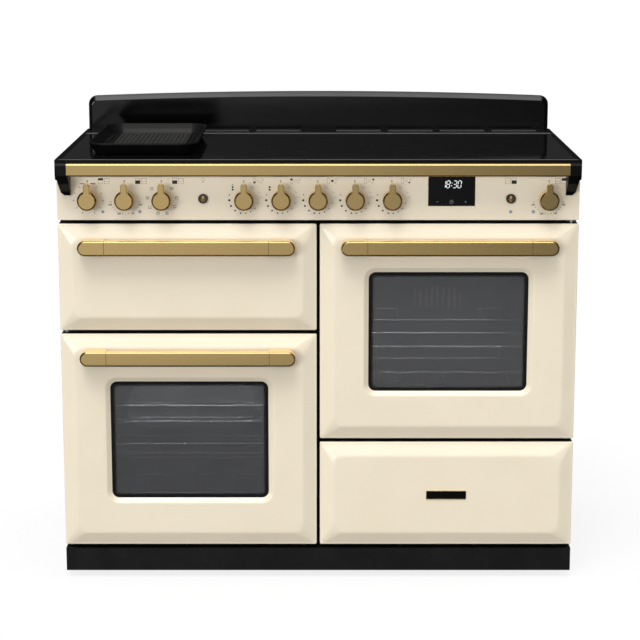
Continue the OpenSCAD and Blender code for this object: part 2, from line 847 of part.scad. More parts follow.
// A wire shelf: rim, long wires on top of it and two raised stops at the back
module shelf(x, z) {
    y1 = shelf_y + shelf_d;
    top = rim_wire_r + wire_r - weld;
    translate([x, 0, z]) {
        rod_x(rim_wire_r, -shelf_half + front_bend, shelf_half - front_bend, shelf_y, 0);
        rod_x(rim_wire_r, -shelf_half + rear_bend, shelf_half - rear_bend, y1, 0);
        rod_x(rim_wire_r - 0.4, -shelf_half, shelf_half, shelf_y + shelf_d / 2, 0);
        for (s = [-1, 1]) {
            rod_y(rim_wire_r, shelf_y + front_bend, y1 - rear_bend, s * shelf_half, 0);
            bend(rim_wire_r, front_bend, s > 0 ? 270 : 180, s * (shelf_half - front_bend),
                shelf_y + front_bend, 0);
            bend(rim_wire_r, rear_bend, s > 0 ? 0 : 90, s * (shelf_half - rear_bend), y1 - rear_bend, 0);
            for (k = [2, 3])
                rod_z(wire_r - 0.2, top, top + 24, s * k * wire_pitch, y1 - wire_r);
            rod_x(wire_r - 0.3, s * 2.5 * wire_pitch - wire_pitch / 2 - 1,
                s * 2.5 * wire_pitch + wire_pitch / 2 + 1, y1 - wire_r, top + 23);
        }
        for (k = [-4 : 4])
            rod_y(wire_r, shelf_y - 2, y1 + (abs(k) == 2 || abs(k) == 3 ? -0.5 : 2), k * wire_pitch, top);
    }
}

module oven_shelves() {
    color(chrome) placed() for (k = [0, 2]) {
        shelf(-col_x, left_floor + shelf_low + k * shelf_pitch);
        shelf(col_x, right_floor + shelf_low + k * shelf_pitch);
    }
}

// The fan cover: a pressed plate on four posts, with an arched grille of slots
module fan_cover(x, z) {
    cover_w = 290;
    cover_t = 1.2;
    post = 118;
    slot_pitch = 13;
    arch_w = 65;
    translate([x, 0, z]) {
        difference() {
            upright(cover_y, cover_t) rrect(cover_w, cover_w, 30);
            for (k = [-4 : 4]) {
                top = 26 - 14 * pow(k * slot_pitch / arch_w, 2);
                low = -24 + 6 * pow(k * slot_pitch / arch_w, 2);
                upright(cover_y - cut, cover_t + 2 * cut)
                    translate([k * slot_pitch, (top + low) / 2]) rrect(5, top - low, 2.4);
            }
            for (s = [-1, 1], k = [-3 : 3])
                upright(cover_y - cut, cover_t + 2 * cut)
                    translate([s * (cover_w / 2 - 14), k * 24]) rrect(12, 8, 3.9);
        }
        for (sx = [-1, 1], sz = [-1, 1])
            rod_y(5, cover_y + cover_t - slice, oven_back, sx * post, sz * post);
    }
}

module fan_covers() {
    color(enamel) placed() {
        fan_cover(-col_x, left_mid);
        fan_cover(col_x, right_mid);
    }
}

module oven_fan(x, z) {
    blades = 10;
    color(steel) placed() translate([x, 0, z]) {
        rod_y(fan_shaft_r, fan_y, oven_back + cavity_t + motor_l - 6, 0, 0);
        rod_y(12, fan_y, fan_y + fan_l, 0, 0);
        rod_y(fan_r, fan_y + fan_l - 1.5, fan_y + fan_l, 0, 0);
        for (k = [0 : blades - 1])
            rotate([0, k * 360 / blades, 0]) translate([fan_r * 0.45, 0, 0]) rotate([0, 25, 0])
                block([0, fan_y + 4, -0.75], [fan_r * 0.5, fan_y + fan_l - 1, 0.75]);
    }
}

module fan_motors() {
    color(zinc) placed() for (c = [[-col_x, left_mid], [col_x, right_mid]]) difference() {
        y0 = oven_back + cavity_t;
        union() {
            upright(y0, 3) translate(c) rrect(96, 96, 8);
            rod_y(motor_r, y0, y0 + motor_l, c[0], c[1]);
        }
        rod_y(fan_shaft_r + run_fit, y0 - cut, y0 + motor_l + cut, c[0], c[1]);
    }
}

// Fan rings, and the grill's looped element under its ceiling
module heating_elements() {
    ring_y = fan_y + fan_l / 2;
    loop_y0 = body_y + 50;
    loop_y1 = grill_back - 60;
    loop_r = 22;
    loop_z = grill_mid + grill_h / 2 - 16;
    color([0.35, 0.33, 0.32]) placed() {
        for (c = [[-col_x, left_mid], [col_x, right_mid]]) {
            translate([c[0], ring_y, c[1]]) rotate([90, 0, 0]) rotate_extrude()
                translate([ring_r, 0]) circle(element_r);
            for (s = [-1, 1])
                rod_y(element_r - 0.4, ring_y, oven_back, c[0] + s * 16,
                    c[1] - sqrt(ring_r * ring_r - 256));
        }
        for (k = [-3 : 3])
            rod_y(element_r, loop_y0, k == -3 || k == 3 ? grill_back : loop_y1,
                -col_x + 2 * k * loop_r, loop_z);
        for (k = [-3 : 2], q = [0, 90])
            bend(element_r, loop_r, (k % 2 == 0 ? 180 : 0) + q, -col_x + (2 * k + 1) * loop_r,
                k % 2 == 0 ? loop_y0 : loop_y1, loop_z);
    }
}

// The grill pan on its rails, and the wire trivet in it
module grill_pan() {
    y0 = body_y + 14;
    y1 = grill_back - 24;
    mid = (y0 + y1) / 2;
    depth = 26;
    wall = 1.2;
    color(enamel) placed() translate([-col_x, mid, pan_z]) difference() {
        union() {
            linear_extrude(depth) rrect(2 * pan_half - 16, y1 - y0 - 16, 14);
            translate([0, 0, depth - wall]) linear_extrude(wall) rrect(2 * pan_half, y1 - y0, 20);
        }
        translate([0, 0, wall]) linear_extrude(depth)
            rrect(2 * pan_half - 16 - 2 * wall, y1 - y0 - 16 - 2 * wall, 14 - wall);
    }
    trivet_z = pan_z + depth + 2.2 + seat_gap;
    color(chrome) placed() {
        for (s = [-1, 1])
            rod_x(2.2, -col_x - pan_half + 6, -col_x + pan_half - 6,
                mid + s * ((y1 - y0) / 2 - 40), trivet_z);
        for (k = [-7 : 7])
            rod_y(1.6, y0 + 16, y1 - 16, -col_x + k * 24, trivet_z + 2.2 + 1.6 - weld);
    }
}

// Supply

terminal_x = body_x - 213;
terminal_w = 110;
terminal_z = pan_top + 60;
terminal_h = 90;
gland_r = 12;

module terminal_block() {
    y0 = back_in - 42;
    gx = terminal_x + terminal_w / 2;
    gz = terminal_z + 30;
    color(bakelite) placed() difference() {
        union() {
            difference() {
                block([terminal_x, y0, terminal_z],
                    [terminal_x + terminal_w, back_y, terminal_z + terminal_h]);
                block([terminal_x + 2, y0 + 2, terminal_z + 2],
                    [terminal_x + terminal_w - 2, back_y - 2, terminal_z + terminal_h - 2]);
            }
            rod_y(gland_r + 4, back_y - 16, back_y + 4, gx, gz);
        }
        rod_y(gland_r, back_y - 16 - cut, back_y + 4 + cut, gx, gz);
    }
    color(brass) placed() for (k = [-1 : 1])
        block([gx + k * 26 - 8, y0 + 2, terminal_z + terminal_h - 34],
            [gx + k * 26 + 8, y0 + 14, terminal_z + terminal_h - 12]);
}

// Hinges, seals and runners

// A flanged plate in the gap over or under a side-hinged door, with its pin
module side_hinge(s, z, up) {
    x = s * (body_x - hinge_in);
    z0 = up ? z + bracket_over : z - bracket_over - bracket_t;
    block([x - 9, hinge_y, z0], [x + 9, frame_y, z0 + bracket_t]);
    rod_z(9, z0, z0 + bracket_t, x, hinge_y);
    block([x - 9, frame_y - hinge_flange_t, up ? z0 - 12 : z0],
        [x + 9, frame_y, up ? z0 + bracket_t : z0 + bracket_t + 12]);
    if (up) rod_z(pin_r, z - bush_l + 2, z0 + bracket_t, x, hinge_y);
    else {
        rod_z(pin_r, z0, z + bush_l - 2, x, hinge_y);
        rod_z(collar_r, z0 + bracket_t - slice, z - 0.2, x, hinge_y);
    }
}

// An arm that reaches into the grill door and carries its pin
module grill_arm(x) {
    across(x - arm_t / 2, x + arm_t / 2) {
        translate([grill_hinge_y, grill_pin_z]) circle(arm_r);
        translate([grill_hinge_y, grill_pin_z - arm_r + 1])
            square([frame_y - grill_hinge_y, 2 * arm_r - 2]);
    }
    rod_x(pin_r, x - arm_slot / 2 - leaf_t - 1, x + arm_slot / 2 + leaf_t + 1, grill_hinge_y, grill_pin_z);
    block([x - arm_t / 2 - 2, frame_y - hinge_flange_t, grill_pin_z - 12],
        [x + arm_t / 2 + 2, frame_y, grill_pin_z + 12]);
}

module door_hinges() {
    color(steel) placed() {
        side_hinge(-1, doors_z + left_door_h, true);
        side_hinge(-1, doors_z, false);
        side_hinge(1, doors_top, true);
        side_hinge(1, right_door_z, false);
        for (s = [-1, 1]) grill_arm(-col_x + s * (door_w / 2 - arm_in));
    }
}

// A round gasket laid in a rounded rectangle on the face frame
module seal_ring(x, z, h) {
    w2 = oven_w / 2 + 9;
    h2 = h / 2 + 9;
    r = oven_r + 9;
    y = frame_y - seal_r;
    translate([x, 0, z]) {
        for (s = [-1, 1]) {
            rod_x(seal_r, -w2 + r, w2 - r, y, s * h2);
            rod_z(seal_r, -h2 + r, h2 - r, s * w2, y);
        }
        for (sx = [-1, 1], sz = [-1, 1])
            translate([sx * (w2 - r), y, sz * (h2 - r)]) rotate([90, 0, 0])
                rotate([0, 0, sx > 0 ? (sz > 0 ? 0 : 270) : (sz > 0 ? 90 : 180)])
                    rotate_extrude(angle = 90) translate([r, 0]) circle(seal_r);
    }
}

module oven_seals() {
    color([0.12, 0.12, 0.12]) placed() {
        seal_ring(-col_x, left_mid, oven_h);
        seal_ring(col_x, right_mid, oven_h);
        seal_ring(-col_x, grill_mid, grill_h);
    }
}

drawer_wall = 1.5;
drawer_floor = doors_z + 22;
rail_bar_h = 12;
rail_bar_t = 9;
drawer_out = drawer_w / 2 + drawer_wall;
drawer_rail_z = drawer_floor + 46;
drawer_mouth_w = drawer_w + 50;
drawer_mouth_z = doors_z + 10;
drawer_mouth_h = drawer_h - 24;

// Channels on posts that carry the drawer's side bars
module drawer_runners() {
    gap = seat_gap;
    in = drawer_out + rail_bar_t + gap;
    color(zinc) placed() translate([col_x, 0, 0]) mirrored() {
        across(in - rail_bar_t + 2, in + 2) {
            for (z = [drawer_rail_z - gap - 2, drawer_rail_z + rail_bar_h + gap])
                translate([body_y, z]) square([drawer_d - 10, 2]);
        }
        block([in, body_y, drawer_rail_z - gap - 2], [in + 2, body_y + drawer_d - 10,
            drawer_rail_z + rail_bar_h + gap + 2]);
        for (y = [body_y, body_y + drawer_d - 40])
            block([in + 2 - slice, y, pan_top], [in + 4, y + 30, drawer_rail_z + rail_bar_h]);
    }
}

module drawer_box() {
    y0 = skin_d + liner_t;
    color(zinc) placed() translate([col_x, 0, 0]) {
        difference() {
            block([-drawer_out, y0, drawer_floor],
                [drawer_out, y0 + drawer_d, drawer_floor + drawer_box_h]);
            block([-drawer_w / 2, y0 + drawer_wall, drawer_floor + drawer_wall],
                [drawer_w / 2, y0 + drawer_d - drawer_wall, drawer_floor + drawer_box_h + cut]);
        }
        for (s = [-1, 1])
            translate([s * (drawer_out + rail_bar_t / 2) - rail_bar_t / 2, y0 + 10, drawer_rail_z])
                cube([rail_bar_t, drawer_d - 14, rail_bar_h]);
    }
}

// Doors

// The pressed skin of a door as a solid: g shrinks it all round for its inside
module skin_form(w, h, g) {
    hull() {
        upright(g, slice) rrect(w - 2 * g, h - 2 * g, 3, $fn = 24);
        upright(g - field_out * 0.28, slice)
            rrect(w - bevel_w * 0.9 - 2 * g, h - bevel_w * 0.9 - 2 * g, field_r * 0.6, $fn = 32);
    }
    hull() {
        upright(g - field_out * 0.28, slice)
            rrect(w - bevel_w * 0.9 - 2 * g, h - bevel_w * 0.9 - 2 * g, field_r * 0.6, $fn = 32);
        upright(g - field_out, slice)
            rrect(w - 2 * bevel_w, h - 2 * bevel_w, field_r, $fn = 32);
    }
}

module skin(w, h) {
    difference() {
        union() {
            upright(0, skin_d) rrect(w, h, 3);
            skin_form(w, h, 0);
        }
        upright(skin_t, skin_d) rrect(w - 2 * skin_t, h - 2 * skin_t, 2);
        skin_form(w, h, skin_t);
    }
}

// The sloping lip pressed in round a window, g grows it by the sheet's thickness
module lip_form(g) {
    y0 = -field_out - (g > 0 ? 0 : cut);
    hull() {
        upright(y0, slice) rrect(window_w + 2 * (lip_w + g), window_h + 2 * (lip_w + g),
            window_r + lip_w, $fn = 32);
        upright(-field_out + lip_d - slice, slice)
            rrect(window_w + 2 * g, window_h + 2 * g, window_r, $fn = 32);
    }
}

module window_skin(w, h) {
    difference() {
        union() {
            skin(w, h);
            translate([0, 0, window_up]) lip_form(skin_t);
        }
        translate([0, 0, window_up]) {
            lip_form(0);
            upright(-field_out, field_out + skin_d) rrect(window_w, window_h, window_r);
        }
    }
}

// Side-hinged skin with the two bushes for its pins, s is the side of the hinge
module oven_door_panel(s, z, h) {
    hx = s * (door_w / 2 - hinge_in);
    color(cream) placed() translate([s * col_x, 0, z + h / 2]) difference() {
        union() {
            window_skin(door_w, h);
            for (e = [-1, 1])
                rod_z(bush_r, e > 0 ? h / 2 - bush_l : -h / 2 + skin_t / 2,
                    e > 0 ? h / 2 - skin_t / 2 : -h / 2 + bush_l, hx, hinge_y);
        }
        for (e = [-1, 1])
            rod_z(pin_r + run_fit, e > 0 ? h / 2 - bush_l - cut : -h / 2 - cut,
                e > 0 ? h / 2 + cut : -h / 2 + bush_l + cut, hx, hinge_y);
    }
}

// Outer and inner panes of an oven door
module oven_door_glass(s, z, h) {
    lip_back = -field_out + lip_d;
    color(smoke) placed() translate([s * col_x, 0, z + h / 2 + window_up]) {
        upright(lip_back, pane_t) rrect(window_w + 18, window_h + 18, window_r);
        upright(skin_d - pane_t, pane_t) rrect(window_w + 36, window_h + 36, window_r);
    }
}

// The raised band of a liner that meets the seal
module seal_band(mouth_h, over) {
    upright(skin_d + liner_t - slice, frame_gap - 2 * seal_r - seat_gap + slice) difference() {
        rrect(oven_w + 40, mouth_h + over, oven_r + 20);
        rrect(oven_w - 4, mouth_h - 4, oven_r);
    }
}

// Inner pressing of an oven door, with the window's opening
module liner_plate(w, h) {
    difference() {
        union() {
            upright(skin_d, liner_t) rrect(w - 2, h - 2, 3);
            seal_band(oven_h, 40);
        }
        translate([0, 0, window_up]) upright(skin_d - cut, liner_t + 2 * cut)
            rrect(window_w + 4, window_h + 4, window_r);
    }
}

module oven_door_liner(s, z, h) {
    color(enamel) placed() translate([s * col_x, 0, z + h / 2]) liner_plate(door_w, h);
}

module door_handle(x, top_z) {
    z = top_z - handle_down;
    half = door_w / 2 - handle_in;
    bar = half - handle_end;
    color(brass) placed() translate([x, 0, z]) {
        across(-bar, bar) translate([-handle_reach + handle_t / 2, 0]) rrect(handle_t, handle_h, bar_r);
        mirrored() translate([bar, 0, 0]) {
            upright(-handle_reach, handle_reach - field_out) {
                translate([0, -handle_h / 2]) square([handle_end - handle_h / 2, handle_h]);
                translate([handle_end - handle_h / 2, 0]) circle(handle_h / 2);
            }
        }
    }
}

// Slots through the grill door's lower edge for its hinge arms
module arm_slots() {
    for (s = [-1, 1]) {
        x = -col_x + s * (door_w / 2 - arm_in);
        block([x - arm_slot / 2, grill_hinge_y - arm_r - 1.5, grill_door_z - cut],
            [x + arm_slot / 2, skin_d + liner_t + cut, grill_pin_z + arm_r + 2]);
    }
}

module grill_door_panel() {
    color(cream) placed() difference() {
        translate([-col_x, 0, grill_door_z + grill_door_h / 2]) skin(door_w, grill_door_h);
        arm_slots();
    }
}

// Inner pressing of the grill door with the hinge leaves either side of each arm
module grill_door_liner() {
    leaf_z0 = grill_door_z + skin_t + 0.5;
    color(enamel) placed() difference() {
        union() {
            translate([-col_x, 0, grill_mid]) seal_band(grill_h, 34);
            translate([-col_x, 0, grill_door_z + grill_door_h / 2])
                upright(skin_d, liner_t) rrect(door_w - 2, grill_door_h - 2, 3);
            for (s = [-1, 1], e = [-1, 1]) {
                x = -col_x + s * (door_w / 2 - arm_in) + e * (arm_slot + leaf_t) / 2;
                block([x - leaf_t / 2, grill_hinge_y - 6, leaf_z0],
                    [x + leaf_t / 2, skin_d + slice, grill_pin_z + 9]);
            }
        }
        arm_slots();
        for (s = [-1, 1]) {
            x = -col_x + s * (door_w / 2 - arm_in);
            rod_x(pin_r + run_fit, x - 20, x + 20, grill_hinge_y, grill_pin_z);
        }
    }
}

// A roasting tin in a wire cradle that hooks on the inside of the left door
module roasting_rack() {
    bar_half = window_w / 2 + 16;
    frame_half = 152;
    rod_r = 3;
    rod_z0 = tin_z + tin_h - tin_wall - seat_gap - rod_r;
    tin_y1 = tin_y + tin_d;
    color(enamel) placed() translate([-col_x, 0, tin_z]) difference() {
        union() {
            upright(tin_y, tin_d) tin_section(0);
            translate([-tin_half - tin_rim, tin_y - 4, tin_h - tin_wall])
                cube([2 * (tin_half + tin_rim), tin_d + 8, tin_wall]);
        }
        upright(tin_y + tin_wall, tin_d - 2 * tin_wall) tin_section(tin_wall);
    }
    color(chrome) placed() translate([-col_x, 0, 0]) {
        for (z = [rod_z0, rod_z0 - 35, rod_z0 - 84])
            rod_x(rack_r, -bar_half, bar_half, rack_y, z);
        for (s = [-1, 1]) {
            rod_z(rack_r - 0.4, rod_z0 - 84, rod_z0, s * frame_half, rack_y);
            rod_y(rod_r, rack_y, tin_y1 - 6, s * (tin_half + rod_r + 2), rod_z0);
        }
    }
}

// Front view of the tin, g inside its outer face, open upwards past its rim
module tin_section(g) {
    w = tin_half - g;
    r = tin_r - g;
    top = tin_h + (g > 0 ? cut : 0);
    translate([-w, tin_r]) square([2 * w, top - tin_r]);
    intersection() {
        translate([-w, g]) square([2 * w, tin_r - g + slice]);
        union() {
            translate([-w + r, g]) square([2 * (w - r), tin_r - g + slice]);
            for (s = [-1, 1]) translate([s * (w - r), tin_r]) circle(r);
        }
    }
}

module drawer_front() {
    color(cream) placed() translate([col_x, 0, doors_z + drawer_h / 2]) {
        skin(door_w, drawer_h);
        upright(skin_d - slice, liner_t + slice) rrect(door_w - 2, drawer_h - 2, 3);
    }
}

module griddle() {
    z0 = glass_top + seat_gap;
    base_w = griddle_w - 2 * griddle_slope;
    base_l = griddle_l - 2 * griddle_slope;
    wall = 5;
    floor_t = 4.5;
    ridge_in = 12;
    ridge_w = 3.2;
    ridge_pitch = (base_w - 2 * ridge_in) / (ridges - 1);
    color(black) placed() translate([-griddle_x, griddle_y, z0]) {
        difference() {
            hull() {
                linear_extrude(slice) rrect(base_w, base_l, 30, $fn = 40);
                translate([0, 0, griddle_h - slice]) linear_extrude(slice)
                    rrect(griddle_w, griddle_l, 40, $fn = 40);
            }
            hull() {
                translate([0, 0, floor_t]) linear_extrude(slice)
                    rrect(base_w - wall, base_l - wall, 28, $fn = 40);
                translate([0, 0, griddle_h]) linear_extrude(slice)
                    rrect(griddle_w - 2 * wall, griddle_l - 2 * wall, 36, $fn = 40);
            }
        }
        for (k = [0 : ridges - 1])
            translate([-base_w / 2 + ridge_in + k * ridge_pitch - ridge_w / 2,
                -base_l / 2 + 2 * ridge_in, floor_t - slice])
                    cube([ridge_w, base_l - 4 * ridge_in, 2.2]);
    }
}

base_chassis();
plinth();
side_panels();
back_panel();
front_frame();
hob_frame();
hob_glass();
rear_upstand();
front_rail();
rail_ends();
control_panel();
clock_display();
indicator_lamps();
control_switches();
induction_units();
oven_liner(-col_x, left_mid);  // left_oven_liner
oven_liner(col_x, right_mid);  // right_oven_liner
grill_liner();
oven_insulation();
shelf_ladders();
oven_shelves();
fan_covers();
heating_elements();
grill_pan();
terminal_block();
door_hinges();
oven_seals();
fan_motors();
drawer_runners();
levelling_feet();
knob(1);  // knob_1
knob(2);  // knob_2
knob(3);  // knob_3
knob(4);  // knob_4
knob(5);  // knob_5
knob(6);  // knob_6
knob(7);  // knob_7
knob(8);  // knob_8
knob(9);  // knob_9
push_button(-lamp_button_x);  // lamp_button
push_button(drawer_button_x);  // drawer_button
oven_fan(-col_x, left_mid);  // left_oven_fan
oven_fan(col_x, right_mid);  // right_oven_fan
roller(-stand_x);  // left_roller
roller(stand_x);  // right_roller
griddle();
grill_door_panel();
grill_door_liner();
door_handle(-col_x, doors_top);  // grill_handle
oven_door_panel(-1, doors_z, left_door_h);  // left_door_panel
oven_door_glass(-1, doors_z, left_door_h);  // left_door_glass
oven_door_liner(-1, doors_z, left_door_h);  // left_door_liner
door_handle(-col_x, doors_z + left_door_h);  // left_handle
roasting_rack();
oven_door_panel(1, right_door_z, right_door_h);  // right_door_panel
oven_door_glass(1, right_door_z, right_door_h);  // right_door_glass
oven_door_liner(1, right_door_z, right_door_h);  // right_door_liner
door_handle(col_x, doors_top);  // right_handle
drawer_front();
drawer_box();
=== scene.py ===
"""Looks of a free-standing induction range cooker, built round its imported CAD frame."""

import json
import math

import bmesh
import bpy
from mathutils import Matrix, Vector

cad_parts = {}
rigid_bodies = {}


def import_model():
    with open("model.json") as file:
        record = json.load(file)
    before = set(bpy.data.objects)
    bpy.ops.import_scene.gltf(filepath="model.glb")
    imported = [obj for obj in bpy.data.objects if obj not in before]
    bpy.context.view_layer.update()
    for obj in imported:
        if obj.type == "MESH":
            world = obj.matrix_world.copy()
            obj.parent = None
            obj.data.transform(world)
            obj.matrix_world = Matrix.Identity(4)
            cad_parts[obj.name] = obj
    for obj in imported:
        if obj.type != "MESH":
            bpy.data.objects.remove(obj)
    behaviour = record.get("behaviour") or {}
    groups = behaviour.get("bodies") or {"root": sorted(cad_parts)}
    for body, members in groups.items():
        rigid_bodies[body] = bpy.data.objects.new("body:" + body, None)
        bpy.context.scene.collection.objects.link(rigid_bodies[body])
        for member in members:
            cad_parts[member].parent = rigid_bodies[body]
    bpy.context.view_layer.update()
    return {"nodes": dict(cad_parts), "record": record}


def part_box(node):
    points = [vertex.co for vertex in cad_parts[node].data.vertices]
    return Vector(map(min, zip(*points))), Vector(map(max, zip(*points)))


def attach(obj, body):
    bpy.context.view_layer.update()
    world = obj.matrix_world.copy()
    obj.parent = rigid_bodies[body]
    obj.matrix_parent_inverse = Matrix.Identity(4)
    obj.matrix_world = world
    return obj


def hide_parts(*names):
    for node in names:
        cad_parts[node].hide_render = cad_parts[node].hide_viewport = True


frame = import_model()

# All lengths below are millimetres. Depths count from the front plane of the doors.
MM = 0.001
FRONT = 280.0


def place(x, y, z):
    """A point given from the front plane, in the frame's metres."""
    return (x * MM, (y - FRONT) * MM, z * MM)


def extent(node):
    """Lowest and highest corner of a CAD node, from the front plane."""
    return [Vector((c.x / MM, c.y / MM + FRONT, c.z / MM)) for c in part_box(node)]


# ---- camera ----
camera_data = bpy.data.cameras.new("camera")
camera_data.lens = 111.4
camera_data.sensor_width = 36.0
camera = bpy.data.objects.new("camera", camera_data)
camera.location = (0.0037, -4.3606, 1.4072)
camera.rotation_euler = (math.radians(78.358), 0, 0)
bpy.context.scene.collection.objects.link(camera)
bpy.context.scene.camera = camera


# ---- materials ----
def link(tree, source, target):
    """Joins an output socket to an input socket."""
    tree.links.new(source, target)


NOISE_LOW, NOISE_HIGH = 0.3, 0.7  # most of a noise texture lies between these


def noise(tree, size, stretch=(1, 1, 1), detail=3.0, kind="ShaderNodeTexNoise"):
    """Texture whose features are about size mm, stretched along the axes."""
    coord = tree.nodes.new("ShaderNodeTexCoord")
    mapping = tree.nodes.new("ShaderNodeMapping")
    mapping.inputs["Scale"].default_value = [1 / (size * MM * s) for s in stretch]
    texture = tree.nodes.new(kind)
    texture.inputs["Scale"].default_value = 1.0
    if kind == "ShaderNodeTexNoise":
        texture.inputs["Detail"].default_value = detail
    link(tree, coord.outputs["Object"], mapping.inputs["Vector"])
    link(tree, mapping.outputs["Vector"], texture.inputs["Vector"])
    return texture


def ramp(tree, fac, stops):
    """Colour ramp from (position, colour) pairs."""
    node = tree.nodes.new("ShaderNodeValToRGB")
    elements = node.color_ramp.elements
    while len(elements) < len(stops):
        elements.new(0.5)
    for element, (position, colour) in zip(elements, stops):
        element.position = position
        element.color = (*colour, 1)
    link(tree, fac, node.inputs["Fac"])
    return node.outputs["Color"]


def spread(tree, fac, low, high):
    """Maps a texture's middle range to low..high."""
    return map_range(tree, fac, NOISE_LOW, NOISE_HIGH, low, high)


def surface(name, tones, size, rough, stretch=(1, 1, 1), bump=None, **sockets):
    """Procedural material: two tones, a roughness range and a fine bump.

    bump is (feature size, strength, depth), all noise driven.
    """
    mat = bpy.data.materials.new(name)
    mat.use_nodes = True
    tree = mat.node_tree
    shader = tree.nodes["Principled BSDF"]
    texture = noise(tree, size, stretch)
    colour = ramp(tree, texture.outputs["Fac"],
                  [(NOISE_LOW, tones[0]), (NOISE_HIGH, tones[1])])
    link(tree, colour, shader.inputs["Base Color"])
    link(tree, spread(tree, texture.outputs["Fac"], *rough), shader.inputs["Roughness"])
    if bump:
        feature, strength, depth = bump
        node = tree.nodes.new("ShaderNodeBump")
        node.inputs["Strength"].default_value = strength
        node.inputs["Distance"].default_value = depth * MM
        link(tree, noise(tree, feature, stretch).outputs["Fac"], node.inputs["Height"])
        link(tree, node.outputs["Normal"], shader.inputs["Normal"])
    for socket, value in sockets.items():
        shader.inputs[socket.replace("_", " ")].default_value = value
    return mat


def math_node(tree, operation, a, b):
    """The result of a Math node whose inputs are sockets or numbers."""
    node = tree.nodes.new("ShaderNodeMath")
    node.operation = operation
    for socket, value in zip(node.inputs, (a, b)):
        if isinstance(value, (int, float)):
            socket.default_value = value
        else:
            link(tree, value, socket)
    return node.outputs[0]


def blend(tree, fac, low, high):
    """low where fac is 0, high where it is 1."""
    node = tree.nodes.new("ShaderNodeMix")
    node.data_type = "FLOAT"
    link(tree, fac, node.inputs["Factor"])
    for name, value in (("A", low), ("B", high)):
        if isinstance(value, (int, float)):
            node.inputs[name].default_value = value
        else:
            link(tree, value, node.inputs[name])
    return node.outputs["Result"]


def map_range(tree, value, from_min, from_max, to_min, to_max, smooth=False):
    """Maps a socket's value from one range to another, held at both ends."""
    node = tree.nodes.new("ShaderNodeMapRange")
    node.interpolation_type = "SMOOTHSTEP" if smooth else "LINEAR"
    for name, limit in (("From Min", from_min), ("From Max", from_max), ("To Min", to_min),
                        ("To Max", to_max)):
        node.inputs[name].default_value = limit
    link(tree, value, node.inputs["Value"])
    return node.outputs["Result"]


def speckled(mat, size, threshold, colour):
    """Adds enamel specks of one colour over a surface's tones."""
    tree = mat.node_tree
    cells = noise(tree, size, kind="ShaderNodeTexVoronoi")
    overlaid(tree, ramp(tree, cells.outputs["Distance"],
                        [(threshold * 0.7, (1, 1, 1)), (threshold, (0, 0, 0))]), colour)
    return mat


def overlaid(tree, fac, colour):
    """Covers a surface's tones with one colour where fac is 1."""
    shader = tree.nodes["Principled BSDF"]
    base = shader.inputs["Base Color"].links[0].from_socket
    mix = tree.nodes.new("ShaderNodeMix")
    mix.data_type = "RGBA"
    link(tree, fac, mix.inputs["Factor"])
    link(tree, base, mix.inputs["A"])
    mix.inputs["B"].default_value = (*colour, 1)
    link(tree, mix.outputs["Result"], shader.inputs["Base Color"])


def split(tree, kind, output):
    """X, Y and Z of a texture coordinate or a normal."""
    parts = tree.nodes.new("ShaderNodeSeparateXYZ")
    link(tree, tree.nodes.new(kind).outputs[output], parts.inputs["Vector"])
    return parts.outputs


def painted_side_shade(mat, shade_colour):
    """Paints shade on the faces of a surface that don't face up: they get one darker colour."""
    tree = mat.node_tree
    normal = split(tree, "ShaderNodeNewGeometry", "Normal")
    overlaid(tree, map_range(tree, normal["Z"], 0.02, 0.14, 1.0, 0.0), shade_colour)
    return mat


def painted_gap_shade(mat, colour):
    """Paints shade on the returned edges of door skins, apart from those on the cooker's sides:
    they turn near black, as the gaps between the doors lie in shade.
    """
    tree = mat.node_tree
    at = split(tree, "ShaderNodeTexCoord", "Object")
    behind = map_range(tree, at["Y"], (5.0 - FRONT) * MM, (6.5 - FRONT) * MM, 0.0, 1.0)
    off_x = math_node(tree, "ABSOLUTE", at["X"], 0)
    inside = map_range(tree, off_x, 541.0 * MM, 541.5 * MM, 1.0, 0.0)
    overlaid(tree, math_node(tree, "MULTIPLY", behind, inside), colour)
    return mat


def painted_underside_shade(mat, colour):
    """Paints shade on the faces of a metal that look down: they get one darker colour."""
    tree = mat.node_tree
    normal = split(tree, "ShaderNodeNewGeometry", "Normal")
    overlaid(tree, map_range(tree, normal["Z"], -0.5, -0.12, 1.0, 0.0), colour)
    return mat


def painted_rim_shade(mat, cx, cy, half_w, half_l, rim_z, colour):
    """Paints shade on a pan's side and front walls and its rim, leaving only its bed light.

    The bed is 2 * half_w wide round cx, and starts half_l in front of cy.
    """
    tree = mat.node_tree
    at = split(tree, "ShaderNodeTexCoord", "Object")
    off_x = math_node(tree, "ABSOLUTE", math_node(tree, "SUBTRACT", at["X"], cx * MM), 0)
    side = map_range(tree, off_x, half_w * MM, (half_w + 6) * MM, 0.0, 0.93)
    front_y = (cy - half_l - FRONT) * MM
    front = map_range(tree, at["Y"], front_y - 5 * MM, front_y, 0.93, 0.0)
    rim = map_range(tree, at["Z"], (rim_z - 14) * MM, (rim_z - 9) * MM, 0.0, 0.6)
    fac = math_node(tree, "MAXIMUM", math_node(tree, "MAXIMUM", side, front), rim)
    overlaid(tree, fac, colour)
    return mat


def cream_enamel(name):
    """The cooker's cream enamel."""
    return surface(name, ((0.845, 0.752, 0.585), (0.87, 0.775, 0.61)), 90, (0.30, 0.34),
                   bump=(1.6, 0.05, 0.05), Coat_Weight=0.25, Coat_Roughness=0.12)


BRUSH_X = (40, 1, 1)

